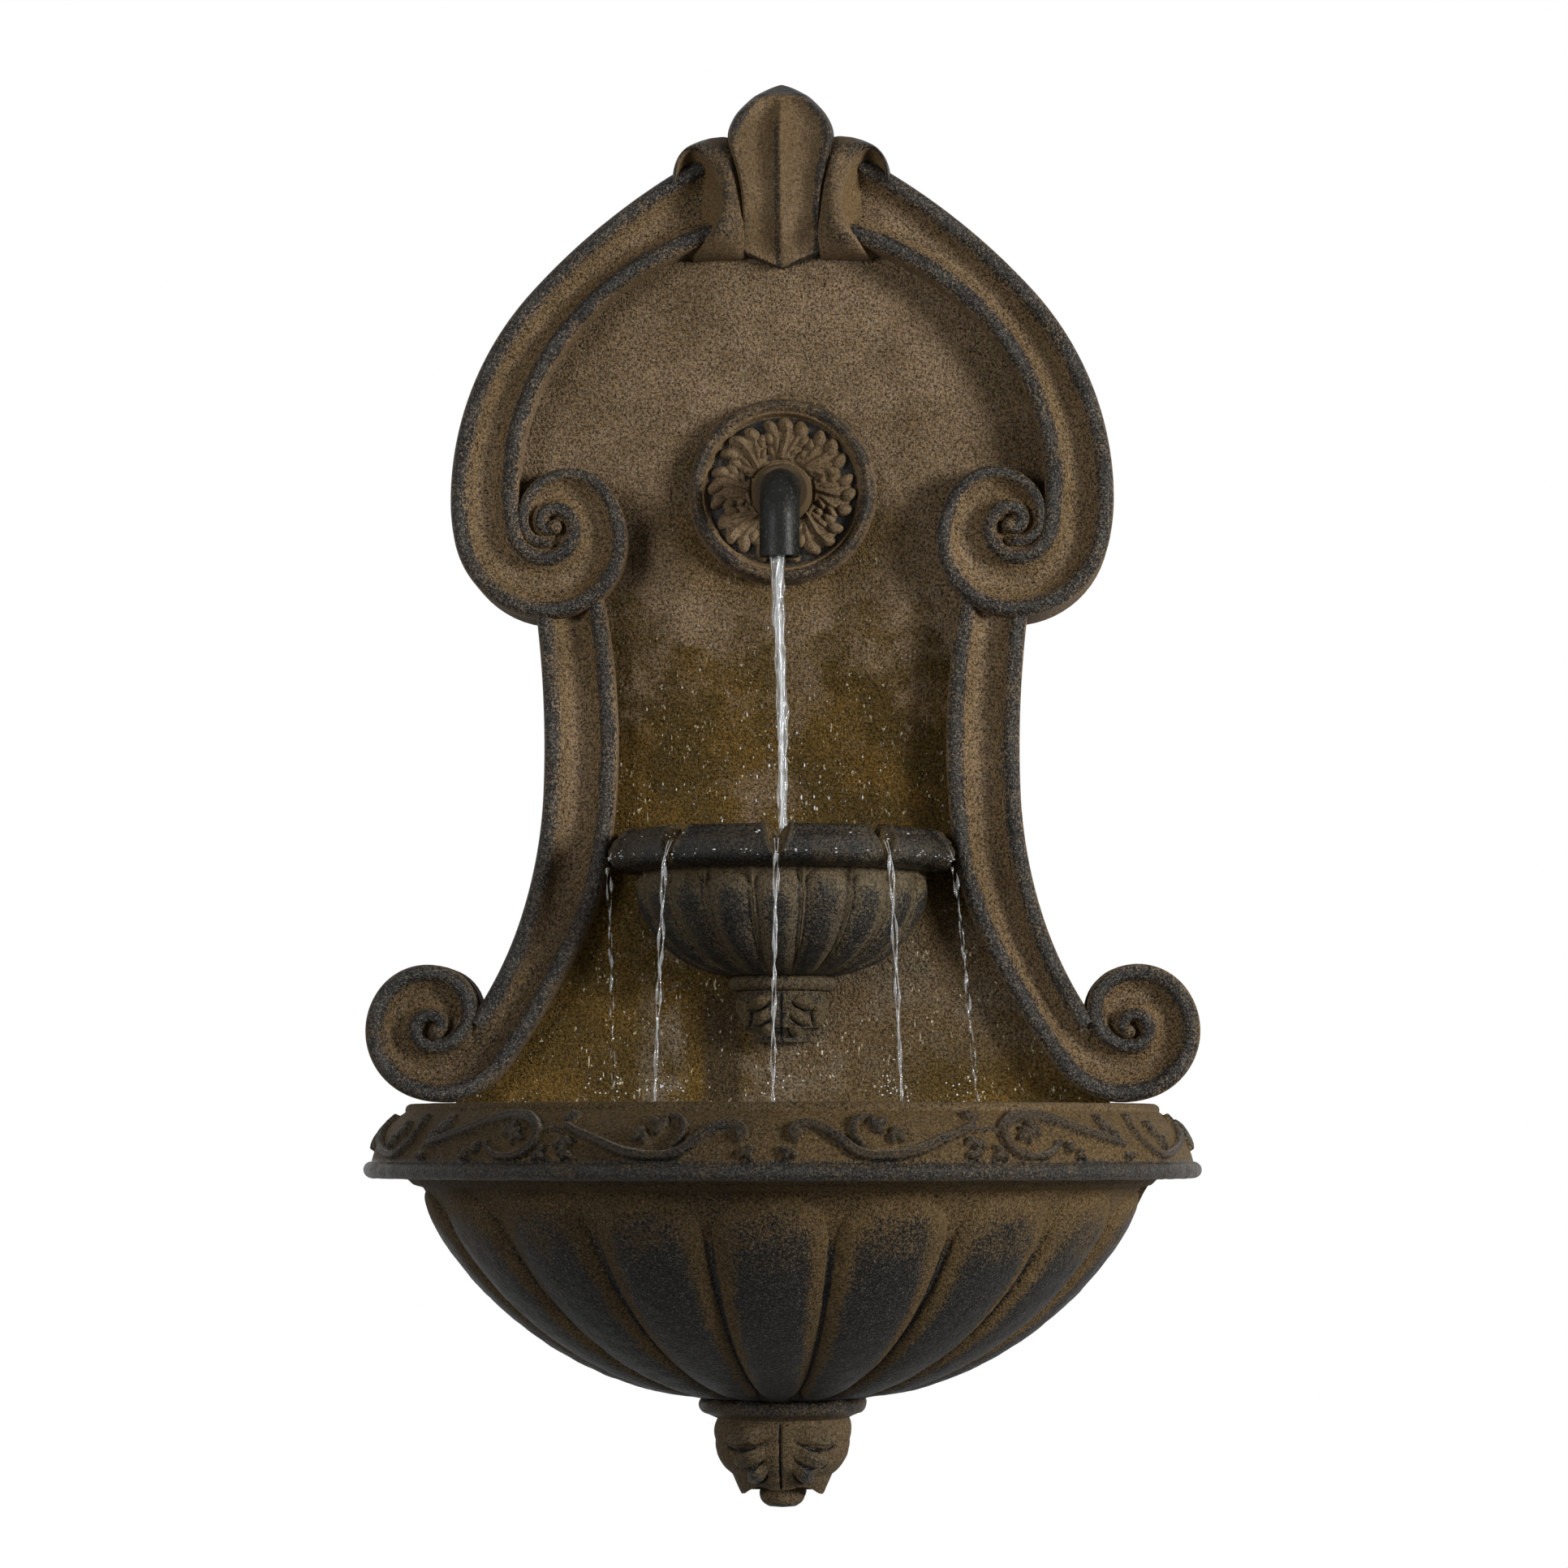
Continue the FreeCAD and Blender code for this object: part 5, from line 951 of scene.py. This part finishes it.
def casting(name, tan, brown, coarse=0.0014, grit=1, shine=0.06, stained=False):
    """Grainy cast resin, lighter in the open and ochre in the hollows, with a broken dark patina on the raised work."""
    t = Tree("aged_bronze_" + name)
    blotch, patch = t.noise(12, 4, 0.6), t.noise(52, 4, 0.62)
    fine, speck = t.noise(640, 2, 0.6), t.noise(1300, 1, 0.5)
    colour = t.mix(t.ramp(blotch, 0.34, 0.62), brown, tan)
    colour = t.mix(t.ramp(patch, 0.56, 0.32, 0, 0.6), colour, brown)
    colour = t.mix(t.times(t.attribute("warm"), t.ramp(patch, 0.25, 0.6, 0.45, 1)), colour,
                   tuple(0.5 * (a + b) for a, b in zip(OCHRE, brown)))
    x, _, z = t.axes()
    # Darker towards the lower left.
    lower_left_dark = t.times(t.ramp(z, -0.24, -0.4), t.ramp(x, 0.16, -0.1, 0.25, 0.9), t.ramp(blotch, 0.3, 0.6, 0.5, 1))
    colour = t.mix(lower_left_dark, colour, tuple(0.42 * c for c in brown))
    soaked = None
    if stained:
        colour, soaked = stain(t, colour, patch, blotch)
    wet, patina = t.attribute("wet"), t.attribute("patina")
    grain = t.plus(t.swing(fine, 3.6 * grit), t.swing(speck, 2.4 * grit))
    dither = t.plus(t.times(grain, -0.5 / (0.4 + 0.6 * grit)), t.swing(patch, 1.2))
    dark = t.times(t.ramp(t.plus(patina, dither), 0.18, 0.8), t.ramp(patina, 0, 0.2))
    colour = t.mix(t.times(dark, 0.94), colour, PATINA)
    colour = t.scale(colour, t.ramp(grain, -1.1, 1.1, 0.12, 2))
    # Painted sheen: light specks on the dark patina where the grain stands high.
    colour = t.mix(t.times(dark, t.ramp(grain, 0.25, 1.1, 0, 0.62 * grit)), colour, PAINTED_SHEEN)
    # Painted highlight where a point asks for it, broken up by the grain.
    painted_highlight_mask = t.times(t.attribute("painted_highlight"), t.ramp(t.plus(grain, patch), -0.2, 1.3, 0.15, 0.95))
    colour = t.mix(painted_highlight_mask, colour, PAINTED_HIGHLIGHT_TONE)
    # Light flecks: dust, and painted sheen.
    dust_and_sheen = t.ramp(t.noise(820, 1, 0.5), 0.61, 0.7, 0, 0.38 * grit ** 3)
    rough = t.math("SUBTRACT", t.ramp(dark, 0, 1, 0.7, 0.42), t.times(wet, 0.28), clamp=True)
    if soaked is not None:
        dust_and_sheen = t.times(dust_and_sheen, t.ramp(soaked, 0, 1, 1, 0.35))
        rough = t.minus(rough, t.times(soaked, 0.25))
    colour = t.mix(dust_and_sheen, colour, DUST_AND_SHEEN)
    colour = t.scale(colour, t.ramp(wet, 0, 1, 1, 0.38))
    height = t.plus(fine, t.times(speck, 0.45), t.times(patch, 1.1))
    gloss = t.plus(t.ramp(dark, 0, 1, 0.05, shine), t.times(wet, 0.1))
    return t.set(Base_Color=colour, Roughness=rough, Specular_IOR_Level=gloss, Normal=t.bump(height, coarse, 1))


def spout_finish():
    t = Tree("spout_bronze")
    patch, fine = t.noise(60), t.noise(500)
    colour = t.mix(t.ramp(patch, 0.35, 0.65), (0.004, 0.0045, 0.004), (0.01, 0.01, 0.009))
    colour = t.mix(t.ramp(fine, 0.58, 0.72, 0, 0.5), colour, (0.1, 0.085, 0.06))
    colour = t.mix(t.ramp(t.axes()[1], -0.054, -0.047, 0, 0.85), colour, BROWN)
    return t.set(Base_Color=colour, Roughness=t.ramp(fine, 0.3, 0.7, 0.32, 0.48), Specular_IOR_Level=0.12,
                 Normal=t.bump(t.noise(600), 0.0004, 0.8))


def moulded(name, low, high, rough, metallic=0, depth=0.00008, grain_size=900):
    """A plain moulded or plated finish with slight clouding and fine texture."""
    t = Tree(name)
    cloud, fine = t.noise(35), t.noise(grain_size, 2)
    return t.set(Base_Color=t.mix(t.ramp(cloud, 0.35, 0.65), low, high), Metallic=metallic,
                 Roughness=t.ramp(fine, 0.3, 0.7, rough - 0.06, rough + 0.06), Normal=t.bump(fine, depth, 0.7))


def water_finish(name, roughness, clear, fineness=240):
    t = Tree(name)
    return t.set(Base_Color=(0.93, 0.96, 0.98), Roughness=roughness, IOR=1.33, Transmission_Weight=clear,
                 Normal=t.bump(t.noise(fineness, 2), 0.0008, 0.5))


cast = casting("resin", TAN, BROWN, shine=0.08)
leaf_cast = casting("leaf", TAN, BROWN, 0.0008, 0.5, 0.1)
finial_cast = casting("finial", (0.15, 0.108, 0.062), (0.08, 0.056, 0.03), 0.0009, 0.7, 0.1)
wet_cast = casting("basin", (0.112, 0.076, 0.038), (0.066, 0.044, 0.021), 0.0012, 0.8, 0.045)
bowl_cast = casting("bowl", (0.118, 0.092, 0.058), (0.06, 0.045, 0.025), 0.0011, 0.7)
field = casting("field", TAN, BROWN, 0.0019, stained=True)
finishes = {CASTING_SLOT: field, "spout_bronze": spout_finish()}
for name, look in {
        "brass_fittings": ((0.5, 0.34, 0.12), (0.62, 0.44, 0.18), 0.34, 1),
        "hose_vinyl": ((0.016, 0.016, 0.018), (0.028, 0.028, 0.03), 0.42),
        "rubber_seals": ((0.012, 0.012, 0.013), (0.022, 0.021, 0.021), 0.66),
        "pump_black": ((0.014, 0.014, 0.016), (0.024, 0.024, 0.027), 0.46, 0, 0.00015),
        "pump_light_plastic": ((0.26, 0.27, 0.29), (0.33, 0.34, 0.36), 0.36),
        "potting_resin": ((0.018, 0.018, 0.022), (0.03, 0.03, 0.035), 0.22),
        "motor_steel": ((0.36, 0.36, 0.37), (0.46, 0.46, 0.47), 0.32, 1),
        "cover_board": ((0.022, 0.02, 0.018), (0.036, 0.033, 0.03), 0.6, 0, 0.0002, 600),
        "zinc_hardware": ((0.42, 0.43, 0.44), (0.52, 0.53, 0.54), 0.38, 1)}.items():
    finishes[name] = moulded(name, *look)
slots = {part["node"]: part["material_slot"] for part in frame["record"]["subparts"]}
for node, obj in frame["nodes"].items():
    obj.data.materials.clear()
    obj.data.materials.append(finishes[slots[node]])

scroll(arch_rails, ARCH_BEAD_Y, ARCH_CHANNEL_Y, arch_regions).pair("scroll_upper", cast, "upper_scroll")
scroll(side_rails, SIDE_BEAD_Y, SIDE_CHANNEL_Y, side_regions, arch_regions).pair("scroll_lower", cast, "lower_scroll")
crown_leaf().piece("leaf_crown", leaf_cast, "crown_leaf")
crown_curl().pair("curl_crown", leaf_cast, "crown_curl")
rosette().piece("rosette_leaves", leaf_cast, "rosette")
basin().piece("basin_casting", wet_cast, "basin")
basin_finial().piece("finial_casting", finial_cast, "basin_finial")
upper_bowl().piece("bowl_casting", bowl_cast, "upper_bowl")
upper_corbel().piece("corbel_casting", bowl_cast, "upper_corbel")

jet_water = water_finish("water_jet", 0.02, 0.94)
pool_water = water_finish("water_pool", 0.02, 0.97, fineness=45)
main_jet().piece("water_main_jet", jet_water)
thin_streams().piece("water_streams", jet_water)
spray().piece("water_drops", water_finish("water_drops", 0.08, 0.45))
bowl_water().piece("water_in_bowl", pool_water)
basin_water().piece("water_in_basin", pool_water)

# Camera, light, floor and background
CAMERA_AT = (0.093, -2.82, -0.4895)
CAMERA_PITCH = radians(4.366)
CAMERA_LENS = 105.93
AIM = (0, 0, -0.32)
LAMP_SIZE, LAMP_SPREAD = 0.9, radians(70)
FLOOR_Z, FLOOR_R = -0.90, 1.5
FLOOR_GLOW = 0.55
WORLD_LIGHT = 0.06


def stand(name, data, at, look):
    obj = bpy.data.objects.new(name, data)
    obj.location = at
    obj.rotation_mode = "QUATERNION"
    obj.rotation_quaternion = look.to_track_quat("-Z", "Y")
    scene.collection.objects.link(obj)
    return obj


def lamp(name, at, power):
    light = bpy.data.lights.new(name, "AREA")
    light.shape, light.size, light.energy, light.spread = "DISK", LAMP_SIZE, power, LAMP_SPREAD
    stand(name, light, at, Vector(AIM) - Vector(at))


turn = atan(CAMERA_AT[0] / -CAMERA_AT[1])
level = cos(CAMERA_PITCH)
lens = bpy.data.cameras.new("camera")
lens.lens, lens.sensor_width = CAMERA_LENS, 36.0
look = Vector((-sin(turn) * level, cos(turn) * level, sin(CAMERA_PITCH)))
scene.camera = stand("camera", lens, CAMERA_AT, look)

lamp("key", (2.5, -1.55, 0.15), 19.5)
lamp("fill", (-1.7, -2.1, 0.1), 5.8)

world = Nodes(bpy.data.worlds.new("world"))
scene.world = world.owner
grey = world.nodes["Background"]
world.put((1, 1, 1, 1), grey.inputs["Color"])
world.put(WORLD_LIGHT, grey.inputs["Strength"])
white = world.node("Background", {"Color": (1, 1, 1, 1), "Strength": 1})
blend = world.node("MixShader", {0: world.ray_switch(), 1: grey.outputs[0], 2: white})
world.put(blend, world.nodes["World Output"].inputs["Surface"])

bpy.ops.mesh.primitive_circle_add(vertices=96, radius=FLOOR_R, fill_type="NGON", location=(0, 0, FLOOR_Z))
floor = bpy.context.active_object
floor.name = "floor"
t = Tree("floor_white")
t.set(Base_Color=(0.55, 0.55, 0.55), Roughness=0.9, Specular_IOR_Level=0.0)
share = t.times(t.ray_switch(), FLOOR_GLOW)
blend = t.node("MixShader", {0: share, 1: t.shader.outputs[0], 2: t.node("Emission", {})})
t.put(blend, t.nodes["Material Output"].inputs["Surface"])
floor.data.materials.append(t.owner)

scene.view_settings.view_transform = "Standard"
